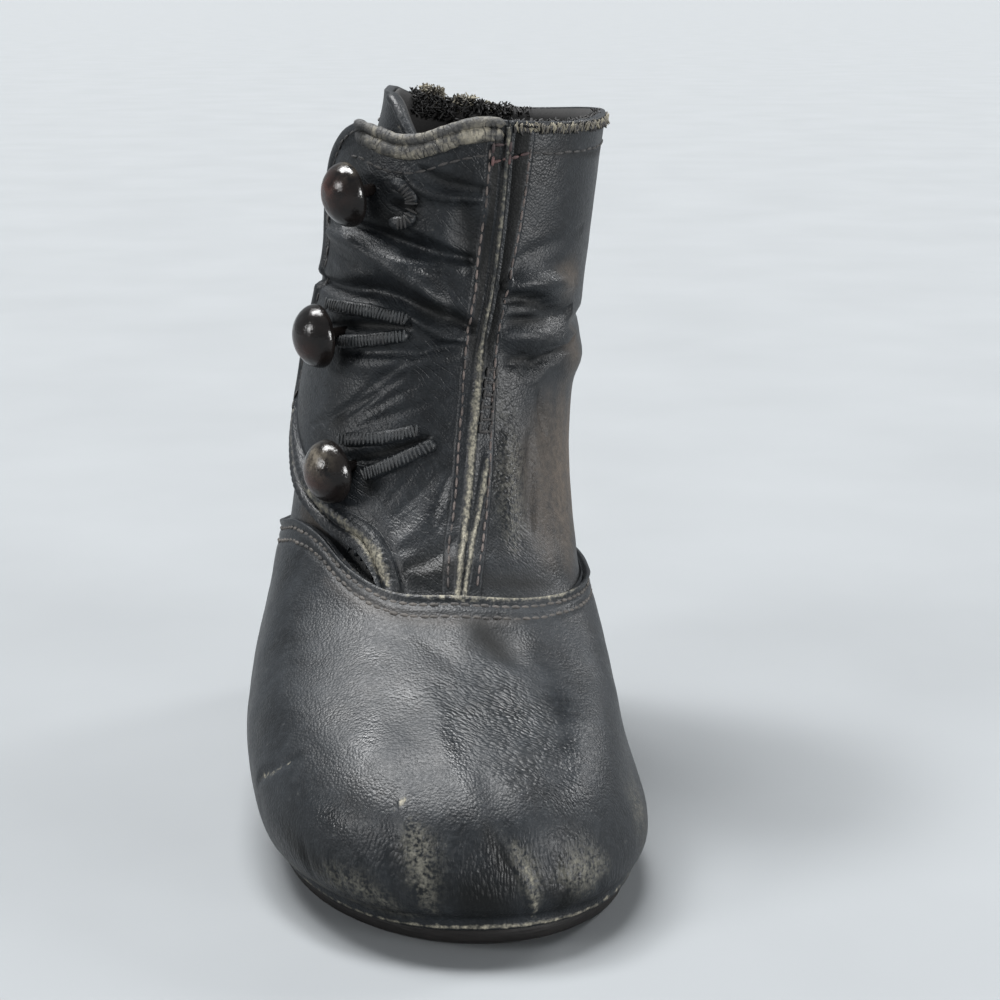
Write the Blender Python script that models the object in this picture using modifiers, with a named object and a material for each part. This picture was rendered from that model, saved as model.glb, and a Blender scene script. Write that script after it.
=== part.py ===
"""A child's button boot for the right foot.

Upper, button flap, raised front seam, three shank buttons, insole and thin turned sole.
+Z is up, the toe points to -Y, and the buttons are on the outer (lateral) side at -X.

Every piece comes from one form, the last. A place on it is an angle and a ring: the angle
runs round the boot from 0 at the toe, positive to the inner (medial) side, and the ring
runs up from 0 at the sole. Heights and angles of the edges are read from short tables.
"""

from collections import namedtuple

import bmesh
import bpy
import numpy as np
from mathutils import Matrix, Vector

# Driving dimensions, in metres
LENGTH = 0.115          # toe to heel over the quarters
BALL_WIDTH = 0.053      # across the quarters' own wall at the ball
SHAFT_HEIGHT = 0.100    # floor to the top of the front seam
PERCENT = 0.01

# Thicknesses and clearances
WALL = 0.0015           # upper leather with its lining
FLAP_LEATHER = 0.0010
GAP = 0.00035           # between pieces that lie on each other
FLAP_TOP = GAP + FLAP_LEATHER
SEAM_LEATHER = 0.00045
SEAM_RIB = 0.0004       # the seam's ridge above the leather beside it
SOLE_THICKNESS = 0.0030
INSOLE_THICKNESS = 0.0010

# Vamp: a second layer over the quarters, thickest where it covers the flap
VAMP_STEP = 0.0010
VAMP_THROAT_STEP = 0.0013
VAMP_THROAT_REACH = 55.0    # degrees either side of the toe
VAMP_THROAT_DEPTH = 0.008   # how fast the extra thickness fades down the vamp

# Sole
SOLE_REACH = 0.0005         # the sole's edge outside the feather line
INSOLE_INSET = 0.0011
TOE_SPRING = 0.0017
SPRING_START = -0.032       # the tread is flat behind this
ARCH_RISE = 0.0007
ARCH_START = 0.002
ARCH_END = 0.026
# The sole's edge from the tread up: how far inside the outline, and the share of its thickness
SoleEdge = namedtuple("SoleEdge", "inset share")
SOLE_EDGE = (SoleEdge(0.0012, 0.0), SoleEdge(0.0002, 0.27), SoleEdge(0.0, 0.73), SoleEdge(0.0007, 1.0))

# The slack outer quarter leans in at the collar and leaves the flap standing
COLLAR_LEAN = 0.0069
LEAN_FROM = 0.080
LEAN_TO = 0.104
LEAN_MIDDLE = -95.0         # degrees
LEAN_REACH = 85.0

# Front seam, in degrees from the toe
SEAM_ANGLE = 10.6
SEAM_HALF_GAP = 0.4
SEAM_LEFT = 4.6
SEAM_RIGHT = 18.6
RISE_FULL = 25.0            # the inner quarter is level with the flap as far as this
RISE_END = 95.0
SEAM_FOOT_CLEAR = 0.0009    # the strip's foot above the vamp's lip
SEAM_TOP_DROP = 0.0012      # the strip's top below the collar
FLAP_FOOT_CLEAR = 0.0009

# Mesh density
COLUMNS = 64
VAMP_ROWS = 14
SHAFT_ROWS = 12
FLAP_ROWS = 22
FLAP_COLUMNS = 13
SEAM_ROWS = 14
SOLE_COLUMNS = 64
BUTTON_STEPS = 16
RING_SAMPLES = 240

# The last, a row for each ring from the sole to above the collar. front, back and wide_ are
# percent of LENGTH; the _up columns percent of SHAFT_HEIGHT; lateral, medial and the _x columns
# percent of BALL_WIDTH. wide_ is where a side is widest, and _square how square the outline is.
Section = namedtuple(
    "Section",
    "front front_up back back_up lateral medial wide_lateral wide_medial "
    "front_square back_square front_x middle_x back_x",
)
SECTIONS = (
    Section(-48.3, 3.3, 46.1, 3.3, 47.6, 44.2, -12.2, -18.3, 2.00, 2.60, 11.6, 1.5, 1.5),
    Section(-50.0, 8.5, 49.1, 9.0, 50.6, 49.1, -13.0, -18.3, 2.30, 2.60, 9.4, 0.0, 0.0),
    Section(-47.8, 16.5, 50.0, 18.0, 50.8, 46.4, -11.3, -16.5, 2.35, 2.50, 7.5, -1.5, -1.5),
    Section(-41.3, 22.1, 49.6, 26.2, 48.1, 44.8, -7.0, -12.2, 2.30, 2.40, 5.7, -1.9, -1.9),
    Section(-30.9, 26.7, 48.3, 34.5, 44.9, 43.6, 0.0, -4.3, 2.25, 2.30, 3.2, -1.5, -1.5),
    Section(-17.8, 33.5, 46.1, 42.8, 42.1, 41.1, 8.7, 5.2, 2.20, 2.30, 1.3, -0.6, -0.6),
    Section(-8.3, 42.8, 44.3, 51.1, 39.8, 39.6, 14.8, 13.0, 2.20, 2.30, 0.6, 0.6, 0.2),
    Section(-3.5, 54.2, 43.5, 60.4, 38.7, 39.1, 18.3, 17.4, 2.20, 2.30, 1.7, 1.7, 1.1),
    Section(-1.3, 68.7, 43.0, 71.8, 37.9, 38.5, 20.0, 20.0, 2.20, 2.30, 5.3, 5.3, 4.0),
    Section(0.0, 84.2, 43.0, 85.3, 37.7, 38.1, 20.9, 20.9, 2.25, 2.30, 9.2, 9.2, 7.2),
    Section(0.4, 107.0, 43.5, 107.0, 37.7, 38.1, 21.7, 21.7, 2.25, 2.30, 14.0, 14.0, 12.1),
)
TOP_RING = len(SECTIONS) - 1
COLUMN_UNITS = {
    "front": LENGTH, "back": LENGTH, "wide_lateral": LENGTH, "wide_medial": LENGTH,
    "front_up": SHAFT_HEIGHT, "back_up": SHAFT_HEIGHT,
    "lateral": BALL_WIDTH, "medial": BALL_WIDTH,
    "front_x": BALL_WIDTH, "middle_x": BALL_WIDTH, "back_x": BALL_WIDTH,
}

# Edges of the panels: an angle in degrees and a height in percent of SHAFT_HEIGHT
EdgePoint = namedtuple("EdgePoint", "angle height")
VAMP_LINE = (
    EdgePoint(-180, 33.0), EdgePoint(-140, 34.0), EdgePoint(-108, 37.0), EdgePoint(-80, 40.6),
    EdgePoint(-62, 42.0), EdgePoint(-44, 41.0), EdgePoint(-31, 38.0), EdgePoint(-17, 35.8),
    EdgePoint(9, 35.0), EdgePoint(49, 34.0), EdgePoint(70, 34.1), EdgePoint(92, 34.0),
    EdgePoint(125, 32.6), EdgePoint(180, 33.0),
)
# The collar; on the outer quarter it slopes down behind the flap
COLLAR_LINE = (
    EdgePoint(10, 100.8), EdgePoint(35, 100.5), EdgePoint(62, 100.6), EdgePoint(90, 101.0),
    EdgePoint(110, 100.6), EdgePoint(130, 100.2), EdgePoint(155, 100.0), EdgePoint(180, 100.6),
    EdgePoint(215, 102.6), EdgePoint(245, 104.0), EdgePoint(270, 104.4), EdgePoint(295, 104.3),
    EdgePoint(312, 104.2), EdgePoint(320, 103.3), EdgePoint(330, 100.5), EdgePoint(340, 97.2),
    EdgePoint(352, 94.8), EdgePoint(371, 94.0),
)
# The flap's free edge from the throat of the vamp up and round its top corner
FLAP_EDGE = (
    EdgePoint(-17.5, 36.3), EdgePoint(-21.5, 39.6), EdgePoint(-27, 41.6), EdgePoint(-40, 43.2),
    EdgePoint(-56, 46.0), EdgePoint(-70, 49.6), EdgePoint(-82, 53.5), EdgePoint(-88, 58.0),
    EdgePoint(-87, 63.0), EdgePoint(-80, 69.5), EdgePoint(-73, 76.0), EdgePoint(-71, 81.5),
    EdgePoint(-74, 87.0), EdgePoint(-76, 91.5), EdgePoint(-71, 95.4), EdgePoint(-60, 98.6),
    EdgePoint(-48, 100.3),
)
FLAP_TOP_LINE = (
    EdgePoint(-48, 100.3), EdgePoint(-36.5, 99.3), EdgePoint(-26.5, 98.5), EdgePoint(-18, 98.7),
    EdgePoint(-10, 99.7), EdgePoint(-4, 100.6), EdgePoint(2, 101.1), EdgePoint(10.2, 100.9),
)

# Buttons and the slits they pass through: where the shank stands, the direction round the boot
# that the head faces and how far it droops, in degrees, and the slit's inner end
Button = namedtuple("Button", "name angle height face droop slit_angle slit_height")
BUTTONS = (
    Button("button_top", -36.7, 91.0, -62.0, 8.0, -19.0, 88.2),
    Button("button_middle", -44.5, 70.0, -64.0, 3.0, -15.0, 70.6),
    Button("button_bottom", -29.9, 51.5, -54.0, 3.0, 0.0, 55.6),
)
SLIT_WIDTH = 0.0031
SLIT_PAST_SHANK = 0.0017
SLIT_DEPTH = 0.008
# Half of a button's outline from its crown down to the top of its shank; height is above the
# outer quarter's own wall
Turned = namedtuple("Turned", "radius height")
BUTTON_PROFILE = (
    Turned(0.0, 0.0089), Turned(0.0012, 0.0088), Turned(0.0024, 0.0083), Turned(0.0036, 0.0075),
    Turned(0.0044, 0.0065), Turned(0.0047, 0.0054), Turned(0.0046, 0.0048), Turned(0.0040, 0.0042),
    Turned(0.0024, 0.0039), Turned(0.0009, 0.0038),
)
SHANK_RADIUS = 0.0009

# Moves the boot so that its box stands centred over the origin
BOX_MIDDLE = (0.0011, 0.0)

# Finishes: base colour, roughness, metallic
Finish = namedtuple("Finish", "color roughness metallic")
BLACK_LEATHER = Finish((0.028, 0.030, 0.033, 1.0), 0.42, 0.0)
SOLE_LEATHER = Finish((0.020, 0.018, 0.017, 1.0), 0.6, 0.0)
INSOLE_LEATHER = Finish((0.20, 0.15, 0.10, 1.0), 0.75, 0.0)
SEAM_LEATHER_FINISH = Finish((0.06, 0.06, 0.058, 1.0), 0.55, 0.0)
BUTTON_BLACK = Finish((0.016, 0.012, 0.010, 1.0), 0.18, 0.0)


def through_rows(values, ring):
    """A smooth curve through the table's rows, read at a ring number."""
    low = np.minimum(ring.astype(int), TOP_RING - 1)
    share = ring - low
    start = values[low]
    end = values[low + 1]
    before = np.where(low > 0, values[np.maximum(low - 1, 0)], 2 * start - end)
    after = np.where(low < TOP_RING - 1, values[np.minimum(low + 2, TOP_RING)], 2 * end - start)
    slope = (end - before) / 2
    next_slope = (after - start) / 2
    square = share ** 2
    cube = share ** 3
    return ((2 * cube - 3 * square + 1) * start + (cube - 2 * square + share) * slope
            + (3 * square - 2 * cube) * end + (cube - square) * next_slope)


TABLE = {
    name: np.array([getattr(row, name) for row in SECTIONS])
    * (COLUMN_UNITS[name] * PERCENT if name in COLUMN_UNITS else 1.0)
    for name in Section._fields
}


def smooth_step(low, high, value):
    """0 below low, 1 above high, and a soft ramp between."""
    share = np.clip((value - low) / (high - low), 0.0, 1.0)
    return share * share * (3 - 2 * share)


def tread_height(along):
    """The underside of the sole: flat at heel and forefoot, with an arch and a toe spring."""
    spring = np.clip((SPRING_START - along) / (SPRING_START + LENGTH / 2), 0.0, None)
    arch = np.clip((along - ARCH_START) / (ARCH_END - ARCH_START), 0.0, 1.0)
    return TOE_SPRING * spring ** 2 + ARCH_RISE * np.sin(np.pi * arch) ** 2


def last_point(angle, ring):
    """The quarters' outer surface, as an array of points."""
    angle, ring = np.broadcast_arrays(np.asarray(angle, float), np.asarray(ring, float))
    ring = np.clip(ring, 0.0, TOP_RING)
    row = {name: through_rows(values, ring) for name, values in TABLE.items()}
    cosine = np.cos(np.radians(angle))
    sine = np.sin(np.radians(angle))
    widest = np.where(sine >= 0, row["wide_medial"], row["wide_lateral"])
    half = np.where(sine >= 0, row["medial"], row["lateral"])
    power = 2 / np.where(cosine >= 0, row["front_square"], row["back_square"])
    reach = np.where(cosine >= 0, row["front"], row["back"]) - widest
    along = widest + reach * np.abs(cosine) ** power
    share = (along - row["front"]) / (row["back"] - row["front"])
    middle = (row["front_x"] * (1 - share) ** 2 + 2 * row["middle_x"] * share * (1 - share)
              + row["back_x"] * share ** 2)
    across = middle + np.sign(sine) * half * np.abs(sine) ** power
    up = row["front_up"] + (row["back_up"] - row["front_up"]) * share
    up = up + tread_height(along) * np.clip(1 - ring / 3, 0.0, 1.0)
    return np.stack([across, along, up], -1)


def outward(angle, ring):
    """The unit normal of the last, pointing out of the boot."""
    angle, ring = np.broadcast_arrays(np.asarray(angle, float), np.asarray(ring, float))
    turn, climb = 0.4, 0.02
    around = last_point(angle + turn, ring) - last_point(angle - turn, ring)
    upward = last_point(angle, ring + climb) - last_point(angle, ring - climb)
    normal = np.cross(around, upward)
    return normal / np.linalg.norm(normal, axis=-1, keepdims=True)


def lifted(angle, ring, lift):
    """A point a given height above the last."""
    return last_point(angle, ring) + outward(angle, ring) * np.asarray(lift)[..., None]


def smooth_curve(places, values, at):
    """A smooth curve through values at given places, read at other places."""
    slopes = np.gradient(values, places)
    low = np.clip(np.searchsorted(places, at) - 1, 0, len(places) - 2)
    span = places[low + 1] - places[low]
    share = (at - places[low]) / span
    square = share ** 2
    cube = share ** 3
    return ((2 * cube - 3 * square + 1) * values[low] + (cube - 2 * square + share) * span * slopes[low]
            + (3 * square - 2 * cube) * values[low + 1] + (cube - square) * span * slopes[low + 1])


def edge_columns(edge):
    """An edge table's angles in degrees and heights in metres."""
    angles = np.array([point.angle for point in edge], float)
    heights = np.array([point.height for point in edge]) * PERCENT * SHAFT_HEIGHT
    return angles, heights


def edge_height(edge, angle):
    """The height of an edge table at an angle."""
    angles, heights = edge_columns(edge)
    return smooth_curve(angles, heights, angle)


def wrapped(angle):
    """The same direction between -180 and 180 degrees."""
    return (np.asarray(angle, float) + 180.0) % 360.0 - 180.0


def vamp_height(angle):
    return edge_height(VAMP_LINE, wrapped(angle))


def collar_height(angle):
    start = COLLAR_LINE[0].angle
    return edge_height(COLLAR_LINE, (np.asarray(angle, float) - start) % 360.0 + start)


def ring_at(angle, height):
    """The ring that passes each angle at each height."""
    angle, height = np.broadcast_arrays(np.asarray(angle, float), np.asarray(height, float))
    rings = np.linspace(0.0, TOP_RING, RING_SAMPLES)
    found = [
        np.interp(level, last_point(np.full(RING_SAMPLES, turn), rings)[:, 2], rings)
        for turn, level in zip(angle.ravel(), height.ravel())
    ]
    return np.array(found).reshape(angle.shape)


def collar_lean(angle, height):
    """How far the slack outer quarter leans in, towards the inner side."""
    share = np.clip(1 - np.abs(wrapped(angle) - LEAN_MIDDLE) / LEAN_REACH, 0.0, 1.0)
    return COLLAR_LEAN * smooth_step(0.0, 1.0, share) * smooth_step(LEAN_FROM, LEAN_TO, height)


def quarter_lift(angle):
    """The inner quarter's rise to the flap's level beside the front seam."""
    turn = wrapped(angle)
    return np.where(turn > SEAM_ANGLE, FLAP_TOP * (1 - smooth_step(RISE_FULL, RISE_END, turn)), 0.0)


def vamp_lift(angle, below_line):
    """The vamp's outer surface above the last, at a depth below the vamp line."""
    throat = np.exp(-(wrapped(angle) / VAMP_THROAT_REACH) ** 2)
    return VAMP_STEP + VAMP_THROAT_STEP * throat * np.exp(-below_line / VAMP_THROAT_DEPTH)


def upper_point(angle, ring, lift):
    """A point of the upper's wall, with the collar's lean."""
    point = lifted(angle, ring, lift)
    point[..., 0] += collar_lean(angle, point[..., 2])
    return point


def finish_material(name, finish):
    material = bpy.data.materials.new(name)
    material.use_nodes = True
    shader = material.node_tree.nodes["Principled BSDF"]
    shader.inputs["Base Color"].default_value = finish.color
    shader.inputs["Roughness"].default_value = finish.roughness
    shader.inputs["Metallic"].default_value = finish.metallic
    return material


def add_object(name, mesh, finish, collection, parent):
    mesh.shade_smooth()
    mesh.set_sharp_from_angle(angle=np.radians(35))
    mesh.materials.append(finish_material(name, finish))
    part = bpy.data.objects.new(name, mesh)
    part.parent = parent
    collection.objects.link(part)
    return part


def bridge_across(bm, loop):
    """Closes a loop with strips between its first half and its second half, read backwards."""
    last = len(loop) - 1
    for k in range(len(loop) // 2 - 1):
        corners = (loop[k], loop[k + 1], loop[last - k - 1], loop[last - k])
        bm.faces.new(corners)


def loft(name, rows, joined_ends=False):
    """A closed mesh through closed loops: its ends are joined to each other, or bridged across."""
    bm = bmesh.new()
    loops = [[bm.verts.new(point) for point in row] for row in rows]
    pairs = list(zip(loops, loops[1:]))
    if joined_ends:
        pairs.append((loops[-1], loops[0]))
    for low, high in pairs:
        for k, vertex in enumerate(low):
            following = (k + 1) % len(low)
            bm.faces.new((vertex, low[following], high[following], high[k]))
    if not joined_ends:
        bridge_across(bm, loops[0])
        bridge_across(bm, loops[-1])
    bmesh.ops.recalc_face_normals(bm, faces=bm.faces)
    mesh = bpy.data.meshes.new(name)
    bm.to_mesh(mesh)
    bm.free()
    return mesh


def upper_rows():
    """Loops of the upper: up the outside, over the collar and down the inside."""
    angles = np.linspace(SEAM_ANGLE + SEAM_HALF_GAP, SEAM_ANGLE - SEAM_HALF_GAP + 360, COLUMNS)
    line = vamp_height(angles)
    line_ring = ring_at(angles, line)
    step_ring = ring_at(angles, line + GAP)
    collar_ring = ring_at(angles, collar_height(angles))
    outside = []
    inside = []
    for share in np.linspace(0.0, 1.0, VAMP_ROWS):
        ring = line_ring * share
        lift = vamp_lift(angles, line - last_point(angles, ring)[:, 2])
        outside.append(upper_point(angles, ring, lift))
        inside.append(upper_point(angles, ring, lift - WALL))
    for share in np.linspace(0.0, 1.0, SHAFT_ROWS):
        ring = step_ring + (collar_ring - step_ring) * share
        lift = quarter_lift(angles)
        outside.append(upper_point(angles, ring, lift))
        inside.append(upper_point(angles, ring, lift - WALL))
    for foot in (outside[0], inside[0]):
        foot[:, 2] = tread_height(foot[:, 1]) + SOLE_THICKNESS + GAP
    return outside + inside[::-1]


def flap_grid():
    """Angles and heights of the flap's grid, blended from its four edges."""
    angles, heights = edge_columns(FLAP_EDGE)
    edge_points = last_point(angles, ring_at(angles, heights))
    steps = np.linalg.norm(np.diff(edge_points, axis=0), axis=1)
    along_edge = np.concatenate([[0.0], np.cumsum(steps)]) / steps.sum()
    rows = np.linspace(0.0, 1.0, FLAP_ROWS)
    edge_angle = smooth_curve(along_edge, angles, rows)
    edge_up = smooth_curve(along_edge, heights, rows)
    seam_angle = SEAM_ANGLE - SEAM_HALF_GAP
    columns = np.linspace(0.0, 1.0, FLAP_COLUMNS)
    foot_angles = edge_angle[0] + (seam_angle - edge_angle[0]) * columns
    foot = vamp_height(foot_angles) + FLAP_FOOT_CLEAR
    top_angles = edge_angle[-1] + (seam_angle - edge_angle[-1]) * columns
    top = edge_height(FLAP_TOP_LINE, top_angles)
    angle = edge_angle[:, None] + (seam_angle - edge_angle[:, None]) * columns
    seam_up = foot[-1] + (top[-1] - foot[-1]) * rows
    across = edge_up[:, None] + (seam_up - edge_up)[:, None] * columns
    foot_bow = foot - (edge_up[0] + (foot[-1] - edge_up[0]) * columns)
    top_bow = top - (edge_up[-1] + (top[-1] - edge_up[-1]) * columns)
    height = across + foot_bow * (1 - rows[:, None]) + top_bow * rows[:, None]
    return angle, height


def sheet_loops(angle, ring, low, high):
    """Loops round a sheet that lies between two heights above the last."""
    over = lifted(angle, ring, np.broadcast_to(high, angle.shape))
    under = lifted(angle, ring, np.broadcast_to(low, angle.shape))
    return np.concatenate([over, under[:, ::-1]], axis=1)


def flap_mesh():
    angle, height = flap_grid()
    return loft("button_flap", sheet_loops(angle, ring_at(angle, height), GAP, FLAP_TOP))


def seam_mesh():
    """A strip over the joint of flap and inner quarter, with a rib along its middle."""
    angles = np.array([SEAM_LEFT, SEAM_ANGLE - 2.2, SEAM_ANGLE, SEAM_ANGLE + 2.2, SEAM_RIGHT])
    rib = np.array([0.0, 0.25, 1.0, 0.25, 0.0]) * SEAM_RIB
    foot = vamp_height(angles) + SEAM_FOOT_CLEAR
    flap_top = edge_height(FLAP_TOP_LINE, np.minimum(angles, SEAM_ANGLE - SEAM_HALF_GAP))
    inner_collar = collar_height(np.maximum(angles, SEAM_ANGLE + SEAM_HALF_GAP))
    top = np.minimum(inner_collar, flap_top)
    shares = np.linspace(0.0, 1.0, SEAM_ROWS)[:, None]
    height = foot + (top - SEAM_TOP_DROP - foot) * shares
    angle = np.broadcast_to(angles, height.shape)
    low = FLAP_TOP + GAP
    return loft("front_seam", sheet_loops(angle, ring_at(angle, height), low, low + SEAM_LEATHER + rib))


def sole_loops(outline_lift, edge, thickness, base):
    """Loops of a plate that follows the feather line, from its underside up."""
    half_step = 180.0 / SOLE_COLUMNS
    angles = np.arange(SOLE_COLUMNS) * 2 * half_step + half_step
    feather = last_point(angles, np.zeros(SOLE_COLUMNS))
    sideways = outward(angles, np.zeros(SOLE_COLUMNS))
    sideways[:, 2] = 0.0
    sideways /= np.linalg.norm(sideways, axis=1, keepdims=True)
    loops = []
    for level in edge:
        loop = feather + sideways * (outline_lift - level.inset)
        loop[:, 2] = tread_height(loop[:, 1]) + base + thickness * level.share
        loops.append(loop)
    return loops


def outsole_mesh():
    return loft("outsole", sole_loops(SOLE_REACH, SOLE_EDGE, SOLE_THICKNESS, 0.0))


def insole_mesh():
    straight_edge = (SoleEdge(0.0, 0.0), SoleEdge(0.0, 1.0))
    return loft("insole", sole_loops(-INSOLE_INSET, straight_edge, INSOLE_THICKNESS, SOLE_THICKNESS + GAP))


def button_axis(button):
    """The unit direction that a button's head faces."""
    turn = np.radians(button.face)
    droop = np.radians(button.droop)
    return Vector((np.sin(turn) * np.cos(droop), -np.cos(turn) * np.cos(droop), -np.sin(droop)))


def shank_places(button):
    """Where a shank stands on the last and on the leaning quarter, and the last's normal there."""
    angle = np.array([button.angle])
    ring = ring_at(angle, np.array([button.height]) * PERCENT * SHAFT_HEIGHT)
    on_last = Vector(last_point(angle, ring)[0])
    on_quarter = Vector(upper_point(angle, ring, np.zeros(1))[0])
    return on_last, on_quarter, Vector(outward(angle, ring)[0])


def add_button(button, collection, parent):
    """A domed button on a straight shank, turned about its own axis, which leans from the last."""
    on_last, on_quarter, normal = shank_places(button)
    axis = button_axis(button)
    heel_of_shank = SHANK_RADIUS * np.tan(normal.angle(axis))
    shank_foot = GAP + heel_of_shank + min((on_quarter - on_last).dot(axis), 0.0)
    outline = BUTTON_PROFILE + (Turned(SHANK_RADIUS, shank_foot), Turned(0.0, shank_foot))
    points = [(point.radius, 0.0, point.height) for point in outline]
    mesh = bpy.data.meshes.new(button.name)
    mesh.from_pydata(points, [(k, k + 1) for k in range(len(points) - 1)], [])
    part = add_object(button.name, mesh, BUTTON_BLACK, collection, parent)
    part.matrix_local = Matrix.Translation(on_last) @ axis.to_track_quat("Z", "Y").to_matrix().to_4x4()
    turning = part.modifiers.new("turned", "SCREW")
    turning.axis = "Z"
    turning.steps = BUTTON_STEPS
    turning.render_steps = BUTTON_STEPS
    turning.use_merge_vertices = True
    turning.merge_threshold = 0.00001


def cut_slit(flap, button, cutters, parent):
    """Cuts the slit that a button's shank passes through."""
    on_last, _, shank_normal = shank_places(button)
    axis = button_axis(button)
    flap_middle = (GAP + FLAP_TOP) / 2
    outer = on_last + axis * (flap_middle / axis.dot(shank_normal))
    end_angle = np.array([button.slit_angle])
    end_ring = ring_at(end_angle, np.array([button.slit_height]) * PERCENT * SHAFT_HEIGHT)
    inner = Vector(lifted(end_angle, end_ring, np.array([flap_middle]))[0])
    normal = shank_normal + Vector(outward(end_angle, end_ring)[0])
    run = (inner - outer).normalized()
    outer -= run * SLIT_PAST_SHANK
    side = normal.cross(run).normalized()
    normal = run.cross(side)
    bpy.ops.mesh.primitive_cube_add(size=1.0)
    cutter = bpy.context.object
    cutter.name = "slit_" + button.name
    cutter.data.transform(Matrix.Diagonal(((inner - outer).length, SLIT_WIDTH, SLIT_DEPTH, 1.0)))
    for holder in list(cutter.users_collection):
        holder.objects.unlink(cutter)
    cutters.objects.link(cutter)
    cutter.parent = parent
    turn = Matrix((run, side, normal)).transposed().to_4x4()
    cutter.matrix_local = Matrix.Translation((outer + inner) / 2) @ turn
    cutter.hide_render = True
    cutter.display_type = "WIRE"
    cut = flap.modifiers.new("slit", "BOOLEAN")
    cut.operation = "DIFFERENCE"
    cut.solver = "EXACT"
    cut.object = cutter


def new_collection(name):
    collection = bpy.data.collections.new(name)
    bpy.context.scene.collection.children.link(collection)
    return collection


def build():
    for old in list(bpy.data.objects):
        bpy.data.objects.remove(old, do_unlink=True)
    parts = new_collection("button_boot")
    cutters = new_collection("cutters")
    boot = bpy.data.objects.new("boot_frame", None)
    boot.location = (-BOX_MIDDLE[0], -BOX_MIDDLE[1], 0.0)
    parts.objects.link(boot)
    add_object("outsole", outsole_mesh(), SOLE_LEATHER, parts, boot)
    add_object("insole", insole_mesh(), INSOLE_LEATHER, parts, boot)
    add_object("upper", loft("upper", upper_rows(), joined_ends=True), BLACK_LEATHER, parts, boot)
    flap = add_object("button_flap", flap_mesh(), BLACK_LEATHER, parts, boot)
    add_object("front_seam", seam_mesh(), SEAM_LEATHER_FINISH, parts, boot)
    for button in BUTTONS:
        add_button(button, parts, boot)
        cut_slit(flap, button, cutters, boot)


build()
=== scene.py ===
# %% [markdown]
# # An infant's button boot
# The imported solids already have the shape of the last. This lesson dresses them: creased kid
# leather, rolled and worn edges, sewing, worked buttonholes and old buttons. It starts by loading
# the solids as a fixed frame.

# %% Load the imported boot
from collections import namedtuple
from functools import partial

import bmesh
import bpy
import numpy as np
from mathutils import Matrix, Vector


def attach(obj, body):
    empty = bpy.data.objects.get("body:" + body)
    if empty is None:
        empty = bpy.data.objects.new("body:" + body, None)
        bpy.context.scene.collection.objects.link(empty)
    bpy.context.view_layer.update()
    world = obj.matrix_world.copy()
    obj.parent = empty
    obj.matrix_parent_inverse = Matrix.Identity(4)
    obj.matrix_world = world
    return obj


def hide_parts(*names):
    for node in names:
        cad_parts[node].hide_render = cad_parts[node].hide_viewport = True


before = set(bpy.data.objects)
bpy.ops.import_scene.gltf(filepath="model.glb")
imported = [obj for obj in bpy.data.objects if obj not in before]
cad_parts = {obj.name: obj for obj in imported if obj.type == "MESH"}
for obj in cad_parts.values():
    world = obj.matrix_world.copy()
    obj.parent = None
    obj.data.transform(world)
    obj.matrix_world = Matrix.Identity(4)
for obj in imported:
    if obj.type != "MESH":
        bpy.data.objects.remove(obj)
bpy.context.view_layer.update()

MM = 0.001
random = np.random.default_rng(1890)
print("solids:", sorted(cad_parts))

# %% [markdown]
# ## The last
# A shoemaker pulls every piece of leather over one wooden form, the last. Here the last is a
# function: an angle round the boot (0 at the toe, positive to the inner side) and a ring that runs
# up from 0 at the sole give a point. A short table holds one row for each ring. Sculpting each
# panel by hand would be another way, but panels from one function fit each other everywhere.

# %% The table of the last, in percent
LENGTH = 115.0          # toe to heel over the quarters
BALL_WIDTH = 53.0
SHAFT_HEIGHT = 100.0
PERCENT = 0.01
BOX_MIDDLE_X = 1.1      # the boot stands with its box centred on the origin
TOE_SPRING = 1.7
SPRING_START = -32.0
ARCH_RISE = 0.7
ARCH_START = 2.0
ARCH_END = 26.0
# front, back and wide_ are percent of LENGTH, the _up columns percent of SHAFT_HEIGHT, lateral,
# medial and the _x columns percent of BALL_WIDTH; _square is how square the outline is
Section = namedtuple(
    "Section",
    "front front_up back back_up lateral medial wide_lateral wide_medial "
    "front_square back_square front_x middle_x back_x",
)
SECTIONS = (
    Section(-48.3, 3.3, 46.1, 3.3, 47.6, 44.2, -12.2, -18.3, 2.00, 2.60, 11.6, 1.5, 1.5),
    Section(-50.0, 8.5, 49.1, 9.0, 50.6, 49.1, -13.0, -18.3, 2.30, 2.60, 9.4, 0.0, 0.0),
    Section(-47.8, 16.5, 50.0, 18.0, 50.8, 46.4, -11.3, -16.5, 2.35, 2.50, 7.5, -1.5, -1.5),
    Section(-41.3, 22.1, 49.6, 26.2, 48.1, 44.8, -7.0, -12.2, 2.30, 2.40, 5.7, -1.9, -1.9),
    Section(-30.9, 26.7, 48.3, 34.5, 44.9, 43.6, 0.0, -4.3, 2.25, 2.30, 3.2, -1.5, -1.5),
    Section(-17.8, 33.5, 46.1, 42.8, 42.1, 41.1, 8.7, 5.2, 2.20, 2.30, 1.3, -0.6, -0.6),
    Section(-8.3, 42.8, 44.3, 51.1, 39.8, 39.6, 14.8, 13.0, 2.20, 2.30, 0.6, 0.6, 0.2),
    Section(-3.5, 54.2, 43.5, 60.4, 38.7, 39.1, 18.3, 17.4, 2.20, 2.30, 1.7, 1.7, 1.1),
    Section(-1.3, 68.7, 43.0, 71.8, 37.9, 38.5, 20.0, 20.0, 2.20, 2.30, 5.3, 5.3, 4.0),
    Section(0.0, 84.2, 43.0, 85.3, 37.7, 38.1, 20.9, 20.9, 2.25, 2.30, 9.2, 9.2, 7.2),
    Section(0.4, 107.0, 43.5, 107.0, 37.7, 38.1, 21.7, 21.7, 2.25, 2.30, 14.0, 14.0, 12.1),
)
TOP_RING = len(SECTIONS) - 1
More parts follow.
